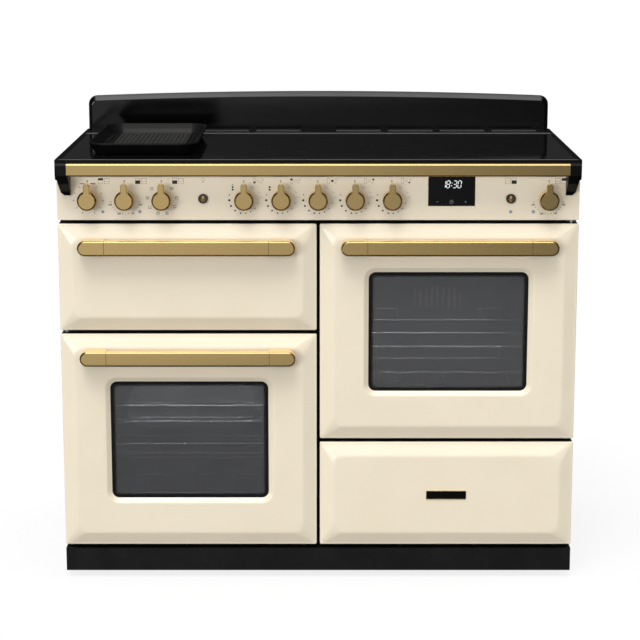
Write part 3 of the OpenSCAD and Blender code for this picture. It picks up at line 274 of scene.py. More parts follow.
cream = cream_enamel("cream_enamel_gloss")
# The doors' cream enamel, its returned edges painted near black as shade in the gaps.
skin_cream = painted_gap_shade(cream_enamel("cream_enamel_doors"), (0.004, 0.004, 0.004))
# Brushed brass, its downward faces painted a darker brown as shade.
brass = painted_underside_shade(
    surface("brass_brushed", ((0.85, 0.605, 0.255), (0.92, 0.66, 0.285)), 0.5,
            (0.20, 0.26), stretch=BRUSH_X, bump=(0.35, 0.04, 0.02), Metallic=1.0),
    (0.30, 0.22, 0.10))
brass_dull = surface("brass_button", ((0.62, 0.44, 0.19), (0.70, 0.50, 0.22)), 0.6,
                     (0.38, 0.46), bump=(0.35, 0.05, 0.02), Metallic=1.0)
black = surface("black_enamel_gloss", ((0.0006, 0.0006, 0.0008), (0.0012, 0.0012, 0.0014)), 60,
                (0.09, 0.14), bump=(1.2, 0.04, 0.05), Specular_IOR_Level=0.54)
satin = surface("black_enamel_satin", ((0.0008, 0.0008, 0.0009), (0.0016, 0.0016, 0.0017)), 60,
                (0.34, 0.42), bump=(1.2, 0.05, 0.05), Specular_IOR_Level=0.14)
skirting = surface("black_enamel_plinth", ((0.0065, 0.0065, 0.007), (0.0085, 0.0085, 0.009)), 60,
                   (0.22, 0.3), bump=(1.2, 0.05, 0.05))
ceramic = surface("glass_ceramic", ((0.0030, 0.0030, 0.0032), (0.0042, 0.0042, 0.0044)), 40,
                  (0.05, 0.09), Specular_IOR_Level=0.27)
zinc = speckled(surface("zinc_sheet", ((0.42, 0.43, 0.44), (0.56, 0.57, 0.58)), 12,
                        (0.34, 0.5), bump=(6, 0.06, 0.05), Metallic=0.85),
                9, 0.35, (0.60, 0.61, 0.62))
lens = surface("lamp_lens_dull", ((0.26, 0.29, 0.38), (0.33, 0.37, 0.47)), 2,
               (0.12, 0.2), Coat_Weight=0.6, Coat_Roughness=0.05)
plastic = surface("black_plastic_matt", ((0.014, 0.014, 0.014), (0.024, 0.024, 0.024)), 3,
                  (0.42, 0.55), bump=(0.5, 0.15, 0.05))
module = surface("pressed_steel", ((0.30, 0.30, 0.31), (0.40, 0.40, 0.41)), 8,
                 (0.35, 0.48), bump=(2, 0.08, 0.05), Metallic=0.9)
cavity = speckled(surface("cavity_enamel_speckled", ((0.020, 0.021, 0.024), (0.030, 0.031, 0.035)),
                          30, (0.26, 0.36), bump=(1.5, 0.08, 0.05)),
                  5, 0.13, (0.32, 0.34, 0.36))
wool = surface("mineral_wool", ((0.52, 0.48, 0.36), (0.72, 0.68, 0.55)), 4, (0.85, 0.95),
               stretch=(3, 3, 1), bump=(2, 0.8, 1.0))
chrome = surface("chrome_wire_bright", ((0.60, 0.61, 0.62), (0.72, 0.73, 0.74)), 5,
                 (0.10, 0.18), bump=(1, 0.04, 0.02), Metallic=1.0)
element = surface("element_tube", ((0.10, 0.095, 0.09), (0.22, 0.20, 0.18)), 6,
                  (0.35, 0.55), bump=(0.8, 0.15, 0.04), Metallic=0.8)
rubber = surface("seal_rubber_dark", ((0.020, 0.020, 0.020), (0.035, 0.035, 0.034)), 4,
                 (0.65, 0.8), bump=(0.8, 0.3, 0.08))
motor = surface("cast_motor_metal", ((0.30, 0.30, 0.31), (0.42, 0.42, 0.43)), 5,
                (0.35, 0.5), bump=(1, 0.15, 0.05), Metallic=0.9)
# Tinted glass; its small diffuse grey share is a painted reflection, a veil over the oven's
# inside.
tinted_pane_painted_reflection = surface("door_glass_tinted_painted_reflection", ((0.44, 0.45, 0.46), (0.47, 0.48, 0.49)), 60,
               (0.0, 0.012), Transmission_Weight=0.9, IOR=1.45)
# Pale grey of two painted highlight strips along the hob tray's edges.
painted_edge_highlight = surface("painted_edge_highlight_grey", ((0.095, 0.095, 0.098), (0.115, 0.115, 0.118)), 30,
               (0.45, 0.55), Specular_IOR_Level=0.2)
# Seasoned cast iron, its faces that don't face up painted darker as shade.
iron = painted_side_shade(surface("cast_iron_seasoned", ((0.022, 0.022, 0.020), (0.046, 0.045, 0.042)), 2.2,
                      (0.5, 0.62), bump=(0.9, 0.5, 0.12), Specular_IOR_Level=0.12),
              (0.0008, 0.0007, 0.0007))
ink = surface("printed_ink", ((0.006, 0.006, 0.006), (0.012, 0.011, 0.010)), 2, (0.5, 0.6))
faint_ink = surface("printed_ink_fine", ((0.16, 0.135, 0.10), (0.22, 0.185, 0.14)), 2, (0.5, 0.6))
hob_ink = surface("hob_print", ((0.0010, 0.0010, 0.0010), (0.0016, 0.0016, 0.0016)), 3, (0.3, 0.4),
                  Specular_IOR_Level=0.2)
digit = surface("display_digit", ((0.75, 0.78, 0.80), (0.85, 0.88, 0.90)), 2, (0.4, 0.5),
                Emission_Color=(0.85, 0.93, 1.0, 1), Emission_Strength=0.55)
key_ink = surface("display_key", ((0.28, 0.29, 0.30), (0.34, 0.35, 0.36)), 2, (0.4, 0.5))
gold = surface("badge_gold", ((0.40, 0.29, 0.12), (0.50, 0.37, 0.17)), 1, (0.25, 0.35),
               Metallic=1.0)
vent = surface("vent_steel", ((0.030, 0.030, 0.031), (0.042, 0.042, 0.043)), 4, (0.55, 0.65),
               bump=(1, 0.1, 0.03), Specular_IOR_Level=0.15)

SLOT_LOOKS = {
    "cream_enamel": cream, "black_enamel": black, "hob_glass": ceramic, "brass": brass,
    "galvanised_steel": zinc, "lamp_lens": lens, "black_plastic": plastic,
    "module_steel": module, "cavity_enamel": cavity, "wool": wool, "chrome_wire": chrome,
    "element_steel": element, "seal_rubber": rubber, "motor_metal": motor,
    "door_glass": tinted_pane_painted_reflection, "cast_iron": iron,
}
NODE_LOOKS = {"front_frame": satin, "rail_ends": satin, "hob_frame": satin, "plinth": skirting,
              "lamp_button": brass_dull, "drawer_button": brass_dull}
for part in frame["record"]["subparts"]:
    node = frame["nodes"][part["node"]]
    node.data.materials.clear()
    node.data.materials.append(NODE_LOOKS.get(part["node"], SLOT_LOOKS[part["material_slot"]]))


# The folded edge of the hob tray, rounded so that it catches the light.
tray = frame["nodes"]["hob_frame"]
tray.modifiers.new("weld", "WELD")
edge = tray.modifiers.new("edge", "BEVEL")
edge.width = 0.7 * MM
edge.segments = 2
edge.limit_method = "ANGLE"
edge.angle_limit = math.radians(50)


# ---- shapes ----
def arc(cx, cz, r, start, end, steps):
    """Points of an arc, angles in degrees."""
    angles = [math.radians(start + (end - start) * k / steps) for k in range(steps + 1)]
    return [(cx + r * math.cos(a), cz + r * math.sin(a)) for a in angles]


def circle(cx, cz, r, steps):
    """Points of a whole circle."""
    return arc(cx, cz, r, 0, 360, steps)[:-1]


def rounded(w, h, r, cx=0.0, cz=0.0, steps=8):
    """Outline of a rounded rectangle."""
    points = []
    for sx, sz, start in ((1, 1, 0), (-1, 1, 90), (-1, -1, 180), (1, -1, 270)):
        points += arc(cx + sx * (w / 2 - r), cz + sz * (h / 2 - r), r, start, start + 90, steps)
    return points


class Shape:
    """Points and faces of one piece."""

    def __init__(self):
        self.points = []
        self.faces = []

    def loft(self, rings, wrap=False):
        """Skins rings of equal length, with the two ends capped or joined."""
        base, count = len(self.points), len(rings[0])
        for ring in rings:
            self.points.extend(ring)
        for k in range(len(rings) if wrap else len(rings) - 1):
            a = base + k * count
            b = base + (k + 1) % len(rings) * count
            for i in range(count):
                j = (i + 1) % count
                self.faces.append((a + i, a + j, b + j, b + i))
        if not wrap:
            end = base + (len(rings) - 1) * count
            self.faces.append(tuple(range(base, base + count)))
            self.faces.append(tuple(range(end, end + count)))
        return self

    def plate(self, outline, y0, y1):
        """An x-z outline as a plate between two depths."""
        return self.loft([[(x, y, z) for x, z in outline] for y in (y0, y1)])

    def slab(self, outline, z0, z1):
        """An x-y outline as a slab between two heights."""
        return self.loft([[(x, y, z) for x, y in outline] for z in (z0, z1)])

    def turned(self, cx, cz, profile, steps=48):
        """A (radius, depth) profile turned round an axis along y."""
        return self.loft([[(x, y, z) for x, z in circle(cx, cz, r, steps)] for r, y in profile])

    def band(self, inner, outer, near, far, flat=False):
        """A thin band between two outlines, upright in x-z or flat in x-y."""
        rings = []
        for line, t in ((inner, near), (outer, near), (outer, far), (inner, far)):
            rings.append([(a, b, t) if flat else (a, t, b) for a, b in line])
        return self.loft(rings, wrap=True)

    def dome(self, cx, cy, z, r, h, up=1):
        """A low screw head or button that stands up along z or out along y."""
        rings = []
        for t in (0, 0.35, 0.7, 0.9, 1):
            ring_r = r * math.sqrt(max(1 - t * t, 0.01))
            ring = circle(0, 0, ring_r, 16)
            if up:
                rings.append([(cx + a, cy + b, z + h * t) for a, b in ring])
            else:
                rings.append([(cx + a, cy + h * t, z + b) for a, b in ring])
        return self.loft(rings)


def build(shape, name, body, material):
    """Makes the Blender object of a shape, smooth where it is round."""
    mesh = bpy.data.meshes.new(name)
    mesh.from_pydata([place(*p) for p in shape.points], [], shape.faces)
    work = bmesh.new()
    work.from_mesh(mesh)
    bmesh.ops.remove_doubles(work, verts=work.verts, dist=1e-6)
    bmesh.ops.recalc_face_normals(work, faces=work.faces)
    work.to_mesh(mesh)
    work.free()
    mesh.shade_smooth()
    mesh.set_sharp_from_angle(angle=math.radians(38))
    piece = bpy.data.objects.new(name, mesh)
    bpy.context.scene.collection.objects.link(piece)
    piece.data.materials.append(material)
    weighted = piece.modifiers.new("normals", "WEIGHTED_NORMAL")
    weighted.keep_sharp = True
    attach(piece, body)
    return piece


def carve(piece, cutter_shape):
    """Cuts a shape out of a piece for good."""
    cutter = build(cutter_shape, piece.name + "_cutter", "root", black)
    cut = piece.modifiers.new("cut", "BOOLEAN")
    cut.operation = "DIFFERENCE"
    cut.object = cutter
    piece.modifiers.move(len(piece.modifiers) - 1, 0)
    weighted = piece.modifiers["normals"]
    weighted.show_viewport = weighted.show_render = False
    depsgraph = bpy.context.evaluated_depsgraph_get()
    mesh = bpy.data.meshes.new_from_object(piece.evaluated_get(depsgraph))
    piece.modifiers.remove(cut)
    piece.data = mesh
    weighted.show_viewport = weighted.show_render = True
    bpy.data.objects.remove(cutter)


# ---- door skins ----
# (inset from the edge, depth, corner radius) across the pressed front
SKIN_OUTSIDE = [(0, 37, 3), (0, 2.4, 3), (0.3, 1.2, 3.2), (1.1, 0.35, 3.6), (2.4, 0, 4.4),
                (4.2, -0.15, 5.8), (6.4, -0.95, 7.4), (25.4, -8.7, 19.6), (28.4, -9.55, 21.4),
                (31, -9.9, 22.8), (34, -10, 24)]
SKIN_INSIDE = [(34, -8.8, 23), (25, -7.3, 19), (7, 0.5, 7), (2.6, 1.6, 4), (1.2, 3, 2),
               (1.2, 37, 2)]
# (growth over the window, depth, corner radius) of the pressed lip
LIP_OUTSIDE = [(14, -10, 28), (10.6, -9.9, 25.4), (9, -9.2, 23.8), (2.2, -4.3, 17.6),
               (0.8, -3.5, 16.2), (0.2, -3.1, 15.4)]
LIP_INSIDE = [(1.5, -3.1, 16.6), (3.2, -3.3, 18), (10.2, -8.2, 25), (14, -8.8, 28)]
WINDOW_W, WINDOW_H, WINDOW_UP = 334.6, 255.0, 1.8
HINGE_IN, HINGE_Y, PIN_R, BUSH_R, BUSH_L = 12.0, 24.0, 4.05, 9.0, 14.0


def skin_rings(profile, cx, cz, w, h):
    """Rings of a pressed form, one for each step of its profile."""
    return [[(x, y, z) for x, z in rounded(w - 2 * d, h - 2 * d, r, cx, cz)]
            for d, y, r in profile]


def door_skin(node, window=False):
    """The pressed, enamelled skin of a door, with its lip round the window.

    Gives the shape, its middle, its width, and the heights of its lower and upper edge.
    """
    low, high = extent(node)
    w, h = high.x - low.x, high.z - low.z
    cx, cz = (low.x + high.x) / 2, (low.z + high.z) / 2
    outside = skin_rings(SKIN_OUTSIDE, cx, cz, w, h)
    inside = skin_rings(SKIN_INSIDE, cx, cz, w, h)
    shape = Shape()
    if window:
        lip = skin_rings([(-g, y, r) for g, y, r in LIP_OUTSIDE + LIP_INSIDE],
                         cx, cz + WINDOW_UP, WINDOW_W, WINDOW_H)
        shape.loft(outside + lip + inside, wrap=True)
    else:
        shape.loft(outside[::-1] + inside[::-1])
    return shape, cx, w, low.z, high.z


def hinge_bores(shape, x, z0, z1):
    """The two bushes of a side-hinged door, as tubes inside the skin."""
    for start, end in ((z0 + 0.6, z0 + BUSH_L), (z1 - BUSH_L, z1 - 0.6)):
        rings = []
        for r, z in ((PIN_R, start), (BUSH_R, start), (BUSH_R, end), (PIN_R, end)):
            rings.append([(a, b, z) for a, b in circle(x, HINGE_Y, r, 32)])
        shape.loft(rings, wrap=True)


for side, sign in (("left", -1), ("right", 1)):
    node, body = side + "_door_panel", side + "_oven_door"
    shape, cx, w, z0, z1 = door_skin(node, window=True)
    skin = build(shape, side + "_door_skin", body, skin_cream)
    hinge_x = cx + sign * (w / 2 - HINGE_IN)
    holes = Shape()
    for start, end in ((z0 - 1, z0 + 5), (z1 - 5, z1 + 1)):
        holes.slab(circle(hinge_x, HINGE_Y, PIN_R, 24), start, end)
    carve(skin, holes)
    bushes = Shape()
    hinge_bores(bushes, hinge_x, z0, z1)
    build(bushes, side + "_door_bushes", body, module)
    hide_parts(node)

shape, cx, w, z0, z1 = door_skin("grill_door_panel")
skin = build(shape, "grill_door_skin", "grill_door", skin_cream)
slots = Shape()  # for the two hinge brackets in its lower edge
for s in (-1, 1):
    x = cx + s * (w / 2 - 25)
    slots.slab([(x - 2.5, 1.5), (x + 2.5, 1.5), (x + 2.5, 40), (x - 2.5, 40)], z0 - 1, z0 + 16)
carve(skin, slots)
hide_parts("grill_door_panel")

shape, cx, w, z0, z1 = door_skin("drawer_front")
shape.plate(rounded(w - 2.6, z1 - z0 - 2.6, 3, cx, (z0 + z1) / 2), 36.9, 38.4)
drawer = build(shape, "drawer_skin", "storage_drawer", skin_cream)
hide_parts("drawer_front")

# ---- handles ----
HANDLE_FRONT, HANDLE_BACK, FIELD_Y, EDGE_R = -44.0, -24.0, -10.0, 4.5
BLOCK_L = 55.8


def fillet(r, step=15):
    """(inset, depth) of a rounded edge, from the side to the front face."""
    angles = [math.radians(a) for a in range(0, 91, step)]
    return [(r * (1 - math.cos(a)), r * (1 - math.sin(a))) for a in angles]


def bar_section(x, h, cz, inset=0.0):
    """Cross-section of a bar at x."""
    mid = (HANDLE_FRONT + HANDLE_BACK) / 2
    t = HANDLE_BACK - HANDLE_FRONT
    outline = rounded(t - 2 * inset, h - 2 * inset, EDGE_R - inset, mid, cz, 6)
    return [(x, y, z) for y, z in outline]


def block_outline(h, length, inset):
    """Front view of a handle's end block, x counted from its joint."""
    r = h / 2 - inset
    return [(0, -r)] + arc(length - h / 2, 0, r, -90, 90, 20) + [(0, r)]


def handle(node, body, name):
    """A bar between two end blocks, each parted from it by a dark joint."""
    low, high = extent(node)
    cx, cz = (low.x + high.x) / 2, (low.z + high.z) / 2
    h, half = high.z - low.z, (high.x - low.x) / 2
    bar = half - BLOCK_L
    shape = Shape()
    shape.loft([bar_section(cx + x, h, cz, inset) for x, inset in
                ((-bar, 0.35), (-bar + 0.35, 0), (bar - 0.35, 0), (bar, 0.35))])
    for s in (-1, 1):
        rings = []
        joint = bar + 0.5
        for y, inset in [(FIELD_Y, 0.0)] + [(HANDLE_FRONT + y, d) for d, y in fillet(EDGE_R)]:
            outline = block_outline(h, BLOCK_L - 0.5, inset)
            rings.append([(cx + s * (joint + x), y, cz + z) for x, z in outline])
        shape.loft(rings)
    joints = Shape()
    for s in (-1, 1):
        x = cx + s * bar
        joints.loft([bar_section(x - 0.6, h, cz, 1.2), bar_section(x + 1.1, h, cz, 1.2)])
    piece = build(shape, name, body, brass)
    build(joints, name + "_joints", body, plastic)
    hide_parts(node)


handle("grill_handle", "grill_door", "grill_handle_brass")
handle("left_handle", "left_oven_door", "left_handle_brass")
handle("right_handle", "right_oven_door", "right_handle_brass")

# ---- knobs ----
KNOB_R, DRUM_R, KNOB_FACE, KNOB_EDGE = 17.4, 20.4, -33.0, 1.1
LEVER_W, LEVER_REACH, KEY_R = 13.4, 36.0, 2.6


def keyhole(inset):
    """Outline of a knob's face: a disc that runs into its lever."""
    r, w, f = KNOB_R - inset, LEVER_W / 2 - inset, KEY_R + inset
    fx = LEVER_W / 2 + KEY_R
    fz = math.sqrt((KNOB_R + KEY_R) ** 2 - fx ** 2)
    lean = math.degrees(math.atan2(fz, fx))
    tip = LEVER_REACH - LEVER_W / 2
    return (arc(0, 0, r, lean, -180 - lean, 40) + arc(-fx, fz, f, -lean, 0, 6)
            + arc(0, tip, w, 180, 0, 14) + arc(fx, fz, f, 180, 180 + lean, 6))


for n in range(1, 10):
    node = "knob_%d" % n
    low, high = extent(node)
    cx, cz = (low.x + high.x) / 2, low.z + DRUM_R
    shape = Shape()
    rings = [[(cx + x, y, cz + z) for x, z in keyhole(inset)] for y, inset in
             [(-20.0, 0.6), (-20.6, 0.0)]
             + [(KNOB_FACE + y, d) for d, y in fillet(KNOB_EDGE, 18)]]
    shape.loft(rings)
    shape.turned(cx, cz, [(3, high.y), (3, -1), (DRUM_R - 0.8, -1), (DRUM_R - 0.2, -1.3),
                          (DRUM_R, -2), (DRUM_R, -27.4), (20.1, -28.3), (19.6, -28.9),
                          (17.5, -30.5), (16.8, -30.8)])
    piece = build(shape, node + "_brass", node + "_body", brass)
    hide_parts(node)

# ---- griddle ----
low, high = extent("griddle")
gx, gy = (low.x + high.x) / 2, (low.y + high.y) / 2
GRID_W, GRID_L = high.x - low.x, high.y - low.y
BED_HALF_W, FRONT_WALL = 76.0, 14.0


def griddle_ring(inset, z, r):
    """A ring of the griddle, its sides bowed out a little between the corners."""
    outline = rounded(GRID_W - 2 * inset, GRID_L - 2 * inset, r, 0, 0, 10)
    ring = []
    for x, y in outline:
        bow = 1 - 0.018 * (abs(x * y) / (GRID_W * GRID_L / 4))
        ring.append((gx + x * bow, gy + y * bow, low.z + z))
    return ring


top = high.z - low.z
iron_shape = Shape()
iron_shape.loft([griddle_ring(*step) for step in (
    (14.6, 0, 29.5), (13.8, 0.5, 30), (12.6, 1.8, 31), (4.6, top - 10, 37.4),
    (3.2, top - 8, 38), (0.8, top - 6, 39.4), (0, top - 4.2, 40), (0, top - 2, 40),
    (0.6, top - 0.6, 39.6), (1.6, top, 38.8), (3.4, top, 37.4), (4.8, top - 0.8, 36.4),
    (6.0, top - 4, 35.4), (14.2, 6.6, 29.6), (15.6, 5.2, 28.6), (18.0, 4.5, 27))])
RIDGES, RIDGE_PITCH, RIDGE_HALF = 20, 9.68, 169.0
for k in range(RIDGES):
    x = gx + (k - (RIDGES - 1) / 2) * RIDGE_PITCH
    rings = []
    for y, rise in ((-RIDGE_HALF, 0.1), (-RIDGE_HALF + 2.5, 1.6), (-RIDGE_HALF + 6, 2.2),
                    (RIDGE_HALF - 6, 2.2), (RIDGE_HALF - 2.5, 1.6), (RIDGE_HALF, 0.1)):
        section = [(-2.2, -0.3), (-1.9, rise * 0.5), (-1.1, rise * 0.9), (0, rise),
                   (1.1, rise * 0.9), (1.9, rise * 0.5), (2.2, -0.3)]
        rings.append([(x + a, gy + y, low.z + 4.5 + b) for a, b in section])
    iron_shape.loft(rings)
# The griddle's walls and rim get painted shade, darker than its bed.
painted_rim_shade(iron, gx, gy, BED_HALF_W, GRID_L / 2 - FRONT_WALL, high.z, (0.003, 0.003, 0.003))
griddle = build(iron_shape, "griddle_cast", "griddle_body", iron)
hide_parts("griddle")

# ---- upstand ----
low, high = extent("rear_upstand")
UP_W, UP_H, UP_RISE, UP_R = (high.x - low.x) / 2, 79.0, 10.0, 21.0


def upstand_ring(side, top_in, y):
    """Outline of the upstand at one depth, with rounded corners and an arched top."""
    w, h, r = UP_W - side, UP_H - top_in, max(UP_R - side, 2)
    points = [(-w, 0)] + arc(-w + r, h - r, r, 180, 90, 10)
    for k in range(1, 48):
        x = (w - r) * (k / 24 - 1)
        points.append((x, h + UP_RISE * (1 - (x / (w - r)) ** 2)))
    points += arc(w - r, h - r, r, 90, 0, 10) + [(w, 0)]
    return [(x, y, low.z + z) for x, z in points]


upstand = Shape()
upstand.loft([upstand_ring(*step) for step in (
    (0.5, 0.5, 604), (0, 0, 603.5), (0, 0, 601.9), (0.3, 0.5, 601.2),
    (7.4, 12, 597.4), (8.6, 13.6, 597))])
piece = build(upstand, "upstand_enamel", "root", black)
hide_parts("rear_upstand")

# ---- vent grilles in the hob's rear slots ----
VENT_W, VENT_D, VENT_Y, HOB_TOP = 105.0, 44.0, 563.0, 905.0
grilles = Shape()
for s in (-1, 1):
    for k in range(4):
        x = s * (41.6 + VENT_W / 2 + k * 121.4)
        for j in range(7):
            y = VENT_Y - VENT_D / 2 + 4 + j * 6
            section = [(y - 1.9, 901.0), (y + 1.9, 901.0), (y + 2.1, 903.6), (y + 1.3, 904.4),
                       (y - 1.3, 904.4), (y - 2.1, 903.6)]
            grilles.loft([[(x + e * (VENT_W / 2 - 0.2), a, b) for a, b in section]
                          for e in (-1, 1)])
        for e in (-1, 0, 1):
            xe = x + e * (VENT_W / 2 - 1.6)
            grilles.slab([(xe - 1.4, VENT_Y - 21.8), (xe + 1.4, VENT_Y - 21.8),
                          (xe + 1.4, VENT_Y + 21.8), (xe - 1.4, VENT_Y + 21.8)], 898.5, 901.2)
build(grilles, "vent_grilles", "root", vent)

# ---- painted highlights: pale grey strips on the tray's edges, in front of the glass and behind it ----
edges = Shape()
for y0, y1 in ((-3.4, 7.2), (489.0, 511.0)):
    half = 538.0
    edges.slab([(-half, y0), (half, y0), (half, y1), (-half, y1)], HOB_TOP - 0.02, HOB_TOP + 0.05)
build(edges, "hob_tray_edge_highlights", "root", painted_edge_highlight)

# ---- prints on the glass ----
GLASS_TOP, PRINT_T, ZONE_LINE = 904.5, 0.06, 1.4
ZONE_X, ZONE_Y, ZONE_W, ZONE_L = -371.0, 262.0, 200.0, 400.0

marks = Shape()
outlines = [[circle(cx, cy, r - d, 96) for d in (ZONE_LINE, 0)]
            for cx, cy, r in ((0, 255, 120), (391, 349, 105), (245, 150, 86))]
outlines.append([rounded(ZONE_W - 2 * d, ZONE_L - 2 * d, 24 - d, ZONE_X, ZONE_Y)
                 for d in (ZONE_LINE, 0)])
for inner, outer in outlines:
    marks.band(inner, outer, GLASS_TOP, GLASS_TOP + PRINT_T, flat=True)
for x in (-49, 49):
    marks.slab([(x - 0.7, 88), (x + 0.7, 88), (x + 0.7, 97), (x - 0.7, 97)],
               GLASS_TOP, GLASS_TOP + PRINT_T)
build(marks, "hob_zone_marks", "root", hob_ink)

# ---- prints on the fascia ----
dark, fine = Shape(), Shape()
KNOB_Z, PRINT_BACK = 822.3, 0.02
LAMP_BUTTON_X, DRAWER_BUTTON_X = -239.2, 400.2


def dot(shape, x, z, r):
    """A filled dot."""
    shape.plate(circle(x, z, r, 16), -PRINT_T, PRINT_BACK)


def quad(shape, x0, z0, x1, z1, front=-PRINT_T):
    """A filled box."""
    shape.plate([(x0, z0), (x1, z0), (x1, z1), (x0, z1)], front, PRINT_BACK)


def frame_mark(shape, x0, z0, x1, z1, line=0.45, r=0.0):
    """The outline of a box, its corners rounded by r."""
    w, h, cx, cz = x1 - x0, z1 - z0, (x0 + x1) / 2, (z0 + z1) / 2
    inner, outer = [rounded(w - 2 * d, h - 2 * d, max(r - d, 0.05), cx, cz, 4)
                    for d in (line, 0)]
    shape.band(inner, outer, PRINT_BACK, -PRINT_T)


def ring_print(shape, x, z, r, line=0.4):
    """The outline of a circle."""
    shape.band(circle(x, z, r - line, 24), circle(x, z, r, 24), PRINT_BACK, -PRINT_T)


def bar_mark(shape, x, z, angle, length, width):
    """A short line at a clockwise angle from upright, its middle at x, z."""
    a = math.radians(angle)
    ux, uz, vx, vz = math.sin(a), math.cos(a), math.cos(a), -math.sin(a)
    corners = [(x + i * ux * length / 2 + j * vx * width / 2,
                z + i * uz * length / 2 + j * vz * width / 2)
               for i, j in ((-1, -1), (-1, 1), (1, 1), (1, -1))]
    shape.plate(corners, -PRINT_T, PRINT_BACK)


def number(shape, text, x, z, size):
    """Figures of a dial, from the built-in font, as thin raised print."""
    curve = bpy.data.curves.new("figures", "FONT")
    curve.body = text
    curve.size = size
    curve.align_x = "CENTER"
    curve.align_y = "CENTER"
    curve.extrude = PRINT_T / 2
    curve.offset = 0.12
    curve.resolution_u = 3
    holder = bpy.data.objects.new("figures", curve)
    bpy.context.scene.collection.objects.link(holder)
    mesh = bpy.data.meshes.new_from_object(
        holder.evaluated_get(bpy.context.evaluated_depsgraph_get()))
    base = len(shape.points)
    for v in mesh.vertices:
        shape.points.append((x + v.co.x, -PRINT_T / 2 - v.co.z, z + v.co.y))
    for p in mesh.polygons:
        shape.faces.append(tuple(base + i for i in p.vertices))
    bpy.data.objects.remove(holder)
    bpy.data.curves.remove(curve)


def polar(x, angle, r):
    """A point at a clockwise angle from upright round a knob's middle."""
    a = math.radians(angle)
    return x + r * math.sin(a), KNOB_Z + r * math.cos(a)


knob_x = {n: (extent("knob_%d" % n)[0].x + extent("knob_%d" % n)[1].x) / 2
          for n in range(1, 10)}
ICON_W, ICON_H, ICON_Z = 10.5, 12.0, KNOB_Z + 38.4


def place_icon(x, parted_at, filled=None):
    """Which oven a control is for: a box parted by a line, one part filled."""
    x0, x1, z0, z1 = x - ICON_W / 2, x + ICON_W / 2, ICON_Z - ICON_H / 2, ICON_Z + ICON_H / 2
    frame_mark(fine, x0, z0, x1, z1, 0.55)
    zs = z0 + ICON_H * parted_at
    quad(fine, x0, zs - 0.2, x1, zs + 0.2)
    if filled == "top":
        quad(dark, x0, zs, x1, z1, -PRINT_T - 0.02)
    elif filled == "low":
        quad(dark, x0, z0, x1, zs, -PRINT_T - 0.02)


DIAL_R, SYMBOL_R = 30.5, 33.0
for n, x in knob_x.items():
    number(dark, "0", x + (1.2 if n == 9 else -1.0), KNOB_Z + 37.5, 6.6)
for angle in (34.5, 65, 95.5, 126, 155.5):
    for s in (-1, 1):
        px, pz = polar(knob_x[1], s * angle, DIAL_R)
        bar_mark(dark, px, pz, s * angle, 3.6, 1.1)
for n in (2, 9):
    for angle in (100, 260):
        px, pz = polar(knob_x[n], angle, DIAL_R)
        bar_mark(dark, px, pz, angle, 3.0, 1.1)
    for angle, text in ((109.5, "100"), (153, "150"), (204, "200"), (250, "250")):
        px, pz = polar(knob_x[n], angle, SYMBOL_R)
        number(dark, text, px, pz, 5.2)
    for angle in (122, 133, 143, 168, 179, 191, 215, 226, 237):
        px, pz = polar(knob_x[n], angle, DIAL_R)
        dot(dark, px, pz, 0.85)
# The oven's functions, as small symbols in boxes.
for k, angle in enumerate((42, 84, 121, 162, 197, 237, 276, 316)):
    px, pz = polar(knob_x[3], angle, DIAL_R)
    frame_mark(dark, px - 3.0, pz - 3.0, px + 3.0, pz + 3.0, 0.6)
    if k % 3 == 0:
        ring_print(dark, px, pz, 1.8, 0.55)
    elif k % 3 == 1:
        quad(dark, px - 1.9, pz + 1.0, px + 1.9, pz + 1.7)
    else:
        quad(dark, px - 1.9, pz - 1.7, px + 1.9, pz - 1.0)
# (clockwise angle from upright, distance, radius) of the heat dots round a hob knob
BOIL = ((106.5, 28.3, 0.95), (132.2, 28.5, 1.1), (155.9, 28.8, 1.25), (176.9, 29.2, 1.4),
        (197.1, 30.2, 1.55), (220.7, 31.2, 1.85), (244.4, 31.9, 2.1), (266.7, 32.3, 2.4),
        (286.7, 32.9, 1.2))
# (right of the knob's middle, above it) of the small heat waves
SIMMER = ((17.0, 24.8), (30.5, 15.1), (35.3, 4.3))
for n in range(4, 9):
    for angle, r, size in BOIL:
        px, pz = polar(knob_x[n] + 1.0, angle, r)
        dot(dark, px, pz, size)
    for dx, dz in SIMMER:
        px, pz = knob_x[n] + dx, KNOB_Z + dz
        for j in (-1, 0, 1):
            bar_mark(fine, px + 2.0 * j, pz - 1.0 * j, 60 + 30 * j, 2.6, 0.5)
    zx, zz = knob_x[n] + 21.4, KNOB_Z + 38.6
    frame_mark(fine, zx - 2.9, zz - 5.5, zx + 2.9, zz + 5.5, 0.5, 1.4)
    if n == 4:
        quad(dark, zx - 2.0, zz - 4.6, zx + 2.0, zz - 1.0)
    if n == 5:
        quad(dark, zx - 2.0, zz + 1.0, zx + 2.0, zz + 4.6)
    for m, dx, dz, r in ((6, 7.9, 0, 2.7), (7, 16.2, 2.7, 2.2), (8, 14.0, -3.4, 1.9)):
        if m == n:
            dot(dark, zx + dx, zz + dz, r)
        else:
            ring_print(fine, zx + dx, zz + dz, r, 0.45)
for n, extra in ((4, (20.4, 25.8, 31.0)), (5, (20.4, 25.8))):
    for up in extra:
        dot(dark, knob_x[n] - 24.0, KNOB_Z + up, 2.1 if up < 30 else 1.2)
for dx, shape in ((-11.8, fine), (10.4, dark)):
    for k in range(4):
        x = knob_x[1] + dx + (k - 1.5) * 2.6
        quad(shape, x - 1.0, KNOB_Z + 31.9, x + 1.0, KNOB_Z + 34.1)
place_icon(knob_x[1] + 26.6, 0.63, "top")
place_icon(knob_x[1] + 39.4, 0.43)
for n in (2, 3):
    place_icon(knob_x[n] + 26.8, 0.6, "low")
    place_icon(knob_x[n] + 39.8, 0.46)
place_icon(knob_x[9] + 18.9, 0.46)
place_icon(knob_x[9] + 32.1, 0.55, "top")
place_icon(DRAWER_BUTTON_X - 7.0, 0.46)
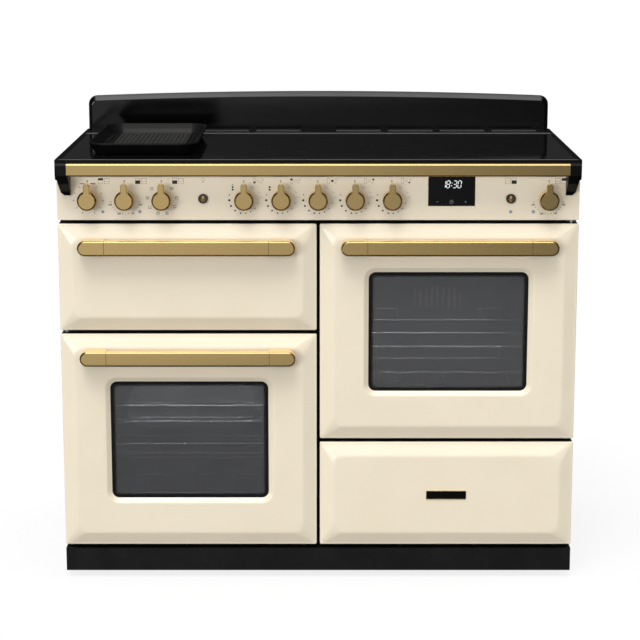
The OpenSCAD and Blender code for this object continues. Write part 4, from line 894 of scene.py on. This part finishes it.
place_icon(DRAWER_BUTTON_X + 6.1, 0.6, "low")
ring_print(fine, LAMP_BUTTON_X, KNOB_Z + 41.4, 3.7, 0.45)
frame_mark(fine, LAMP_BUTTON_X - 1.6, KNOB_Z + 35.0, LAMP_BUTTON_X + 1.6, KNOB_Z + 37.9)
build(dark, "fascia_print", "root", ink)
build(fine, "fascia_print_fine", "root", faint_ink)

# ---- clock ----
SEGMENTS = {"a": (0, 1, 1, 1), "b": (1, 1, 1, 0.5), "c": (1, 0.5, 1, 0), "d": (0, 0, 1, 0),
            "e": (0, 0.5, 0, 0), "f": (0, 1, 0, 0.5), "g": (0, 0.5, 1, 0.5)}
FIGURES = {"1": "bc", "8": "abcdefg", "3": "abgcd", "0": "abcdef"}
CLOCK_Z, CLOCK_H, CLOCK_W, SLANT = 846.6, 14.6, 6.6, 0.14
CLOCK_FRONT, CLOCK_BACK = -0.88, -0.78
clock = Shape()


def stroke(shape, x0, z0, x1, z1, width):
    """A straight stroke on the display."""
    dx, dz = x1 - x0, z1 - z0
    length = math.hypot(dx, dz)
    nx, nz = -dz / length * width / 2, dx / length * width / 2
    shape.plate([(x0 + nx, z0 + nz), (x1 + nx, z1 + nz), (x1 - nx, z1 - nz), (x0 - nx, z0 - nz)],
                CLOCK_FRONT, CLOCK_BACK)


def segment_figure(x, figure):
    """One figure of seven segments."""
    for key in FIGURES[figure]:
        ax, az, bx, bz = SEGMENTS[key]
        points = []
        for px, pz in ((ax, az), (bx, bz)):
            points.append((x + px * CLOCK_W + pz * CLOCK_H * SLANT, CLOCK_Z + pz * CLOCK_H))
        (x0, z0), (x1, z1) = points
        length = math.hypot(x1 - x0, z1 - z0)
        tx, tz = (x1 - x0) / length * 0.9, (z1 - z0) / length * 0.9
        stroke(clock, x0 + tx, z0 + tz, x1 - tx, z1 - tz, 1.3)


for x, figure in ((256.5, "1"), (265.5, "8"), (279.5, "3"), (289.0, "0")):
    segment_figure(x, figure)
for up in (0.3, 0.7):
    x = 276.2 + up * CLOCK_H * SLANT
    stroke(clock, x - 0.8, CLOCK_Z + up * CLOCK_H, x + 0.8, CLOCK_Z + up * CLOCK_H, 1.6)
build(clock, "clock_figures", "root", digit)

CLOCK_X, KEY_Z = 277.1, 817.2
keys = Shape()
stroke(keys, 246.0, KEY_Z, 250.0, KEY_Z, 0.7)
stroke(keys, 304.0, KEY_Z, 308.6, KEY_Z, 0.7)
stroke(keys, 306.3, KEY_Z - 2.3, 306.3, KEY_Z + 2.3, 0.7)
keys.band(circle(CLOCK_X, KEY_Z, 3.1, 24), circle(CLOCK_X, KEY_Z, 3.7, 24),
          CLOCK_BACK, CLOCK_FRONT)
stroke(keys, CLOCK_X, KEY_Z, CLOCK_X, KEY_Z + 2.2, 0.5)
stroke(keys, CLOCK_X, KEY_Z, CLOCK_X + 1.7, KEY_Z, 0.5)
build(keys, "clock_keys", "root", key_ink)

# ---- bare plate on the drawer ----
plate, rim = Shape(), Shape()
OVEN_X = 273.1
bx, bz, bw, bh = OVEN_X, 186.85, 85.4, 19.1
plate.loft([[(x, y, z) for x, z in rounded(bw - 2 * d, bh - 2 * d, 1.6, bx, bz, 4)]
            for y, d in ((-10.0, 0.8), (-11.0, 0.8), (-11.2, 1.0))])
rings = [[(x, y, z) for x, z in rounded(bw - 2 * d, bh - 2 * d, max(2.0 - d, 0.6), bx, bz, 4)]
         for y, d in ((-10.0, 0), (-11.3, 0), (-11.6, 0.3), (-11.6, 0.9), (-11.2, 1.2),
                      (-10.0, 1.2))]
rim.loft(rings, wrap=True)
build(plate, "drawer_plate", "storage_drawer", black)
build(rim, "drawer_plate_rim", "storage_drawer", gold)

# ---- black border printed round the window glass, its fade painted shade ----
BORDER_W = 12.0


def border_print_painted_shade():
    """Black print that fades out towards the middle of the window; the fade is painted shade along
    the window's edge.
    """
    mat = surface("glass_border_print_painted_shade", ((0.008, 0.008, 0.008), (0.011, 0.011, 0.011)), 20,
                  (0.35, 0.45), Specular_IOR_Level=0.1)
    tree = mat.node_tree
    fade = map_range(tree, split(tree, "ShaderNodeUVMap", "UV")["Y"], 0, 1, 0, 1, smooth=True)
    link(tree, fade, tree.nodes["Principled BSDF"].inputs["Alpha"])
    return mat


border = border_print_painted_shade()
for side in ("left", "right"):
    low, high = extent(side + "_door_panel")
    cx, cz = (low.x + high.x) / 2, (low.z + high.z) / 2 + WINDOW_UP
    shape = Shape()
    inner = rounded(WINDOW_W - 2 * BORDER_W, WINDOW_H - 2 * BORDER_W, 8, cx, cz)
    outer = rounded(WINDOW_W + 0.2, WINDOW_H + 0.2, 15, cx, cz)
    shape.band(inner, outer, -3.01, -3.06)
    piece = build(shape, side + "_glass_border", side + "_oven_door", border)
    layer = piece.data.uv_layers.new(name="fade")
    half_w, half_h = (WINDOW_W / 2 - BORDER_W) * MM, (WINDOW_H / 2 - BORDER_W) * MM
    for loop in piece.data.loops:
        co = piece.data.vertices[loop.vertex_index].co
        out = max(abs(co.x - cx * MM) - half_w, abs(co.z - cz * MM) - half_h)
        layer.data[loop.index].uv = (0.5, min(max(out / (BORDER_W * MM), 0), 1))

# ---- small fasteners ----
screws = Shape()
for x in (-520, -347, -173, 0, 173, 347, 520):
    for z in (76, 872):
        screws.dome(x, 598.5, z, 4.2, 2.2, up=0)
for z in (230, 400, 570, 720):
    for x in (-520, 520):
        screws.dome(x, 598.5, z, 4.2, 2.2, up=0)
build(screws, "back_screws", "root", module)

# ---- floor, light and background ----
# Brightness that mirrors see low in front of the cooker, from its left to its right.
MIRROR_LEFT, MIRROR_RIGHT, MIRROR_DARK = 0.66, 0.11, 0.04


def by_ray(tree, camera_value, mirror_value, other):
    """A value for rays seen straight, one for rays seen in a mirror or through glass."""
    path = tree.nodes.new("ShaderNodeLightPath")
    mirrored = math_node(tree, "MAXIMUM", path.outputs["Is Glossy Ray"],
                         path.outputs["Is Transmission Ray"])
    value = blend(tree, mirrored, other, mirror_value)
    return blend(tree, path.outputs["Is Camera Ray"], value, camera_value)


FLOOR_SIZE = 60.0
floor_mesh = bpy.data.meshes.new("floor")
corners = [(-1, -1), (1, -1), (1, 1), (-1, 1)]
floor_mesh.from_pydata([(a * FLOOR_SIZE, b * FLOOR_SIZE, -0.0003) for a, b in corners], [],
                       [(0, 1, 2, 3)])
floor = bpy.data.objects.new("floor", floor_mesh)
bpy.context.scene.collection.objects.link(floor)
floor_look = bpy.data.materials.new("pale_floor")
floor_look.use_nodes = True
tree = floor_look.node_tree
shader = tree.nodes["Principled BSDF"]
shader.inputs["Specular IOR Level"].default_value = 0.0
shader.inputs["Roughness"].default_value = 0.9
tint = ramp(tree, noise(tree, 400).outputs["Fac"],
            [(NOISE_LOW, (0.98, 0.98, 0.98)), (NOISE_HIGH, (1, 1, 1))])
scale = tree.nodes.new("ShaderNodeVectorMath")
scale.operation = "SCALE"
link(tree, tint, scale.inputs[0])
link(tree, by_ray(tree, 0.16, 0.02, 0.28), scale.inputs["Scale"])
link(tree, scale.outputs["Vector"], shader.inputs["Base Color"])
# Mirrors see a bright field on the floor in front: |X| up to about 2 m, Y beyond -1.2 m.
at = split(tree, "ShaderNodeTexCoord", "Object")
mirror = map_range(tree, at["X"], -1.4, 1.4, MIRROR_LEFT, MIRROR_RIGHT)
middle = map_range(tree, math_node(tree, "ABSOLUTE", at["X"], 0), 1.5, 2.3, 1.0, 0.1, smooth=True)
away = map_range(tree, at["Y"], -2.4, -1.2, 1.0, 0.18, smooth=True)
mirror = math_node(tree, "MULTIPLY", mirror, math_node(tree, "MULTIPLY", middle, away))
shader.inputs["Emission Color"].default_value = (1, 1, 1, 1)
link(tree, by_ray(tree, 0.83, mirror, 0.0), shader.inputs["Emission Strength"])
floor.data.materials.append(floor_look)

world = bpy.data.worlds.new("studio")
bpy.context.scene.world = world
world.use_nodes = True
tree = world.node_tree
background = tree.nodes["Background"]
# They also see a softbox high in front, with a bright strip across it, by direction.
to = split(tree, "ShaderNodeTexCoord", "Generated")
sideways = map_range(tree, to["X"], -0.16, 0.16, MIRROR_LEFT, MIRROR_RIGHT)
middle = map_range(tree, math_node(tree, "ABSOLUTE", to["X"], 0), 0.18, 0.42, 1.0, 0.0,
                   smooth=True)
softbox = map_range(tree, to["Z"], 0.28, 0.40, 0.0, 1.15, smooth=True)
off_strip = math_node(tree, "ABSOLUTE", math_node(tree, "SUBTRACT", to["Z"], 0.525), 0)
strip = map_range(tree, off_strip, 0.03, 0.06, 1.75, 0.0, smooth=True)
in_front = map_range(tree, to["Y"], 0.45, 0.25, 0.0, 1.0, smooth=True)
mirror = math_node(tree, "ADD", math_node(tree, "ADD", sideways, softbox), strip)
mirror = math_node(tree, "MULTIPLY", mirror, middle)
mirror = math_node(tree, "ADD", math_node(tree, "MULTIPLY", mirror, in_front), MIRROR_DARK)
link(tree, by_ray(tree, 1.0, mirror, 0.69), background.inputs["Strength"])
background.inputs["Color"].default_value = (1, 1, 1, 1)

# Polished brass mirrors the studio alone: the two suns would only burn its edges out.
no_sun = bpy.data.collections.new("no_sun")
for obj in list(bpy.context.scene.objects):
    if obj.type == "MESH" and any(m in (brass, brass_dull) for m in obj.data.materials):
        no_sun.objects.link(obj)
for member in no_sun.collection_objects:
    member.light_linking.link_state = "EXCLUDE"

# (name, strength, angle across, direction) of a high soft light and of one low from the left
for name, energy, angle, direction in (("high_light", 1.65, 30, (0.14, 0.42, -0.90)),
                                       ("low_light", 1.5, 26, (0.47, 0.87, -0.06))):
    sun_data = bpy.data.lights.new(name, "SUN")
    sun_data.energy = energy
    sun_data.angle = math.radians(angle)
    sun_data.specular_factor = 0.0
    sun = bpy.data.objects.new(name, sun_data)
    sun.rotation_euler = Vector(direction).to_track_quat("-Z", "Y").to_euler()
    sun.light_linking.receiver_collection = no_sun
    bpy.context.scene.collection.objects.link(sun)

# (x, z, power) of the lamps over the oven mouths, which light the cavities softly
for x, z, energy in ((-OVEN_X, 478, 2.3), (OVEN_X, 713, 2.0)):
    lamp_data = bpy.data.lights.new("oven_lamp", "AREA")
    lamp_data.shape = "RECTANGLE"
    lamp_data.size, lamp_data.size_y = 0.3, 0.03
    lamp_data.energy = energy
    lamp = bpy.data.objects.new("oven_lamp", lamp_data)
    lamp.location = place(x, 75, z)
    lamp.rotation_euler = Vector((0, 0.35, -1)).to_track_quat("-Z", "Y").to_euler()
    lamp.visible_camera = False
    lamp.visible_transmission = False
    bpy.context.scene.collection.objects.link(lamp)

bpy.context.scene.view_settings.view_transform = "Standard"
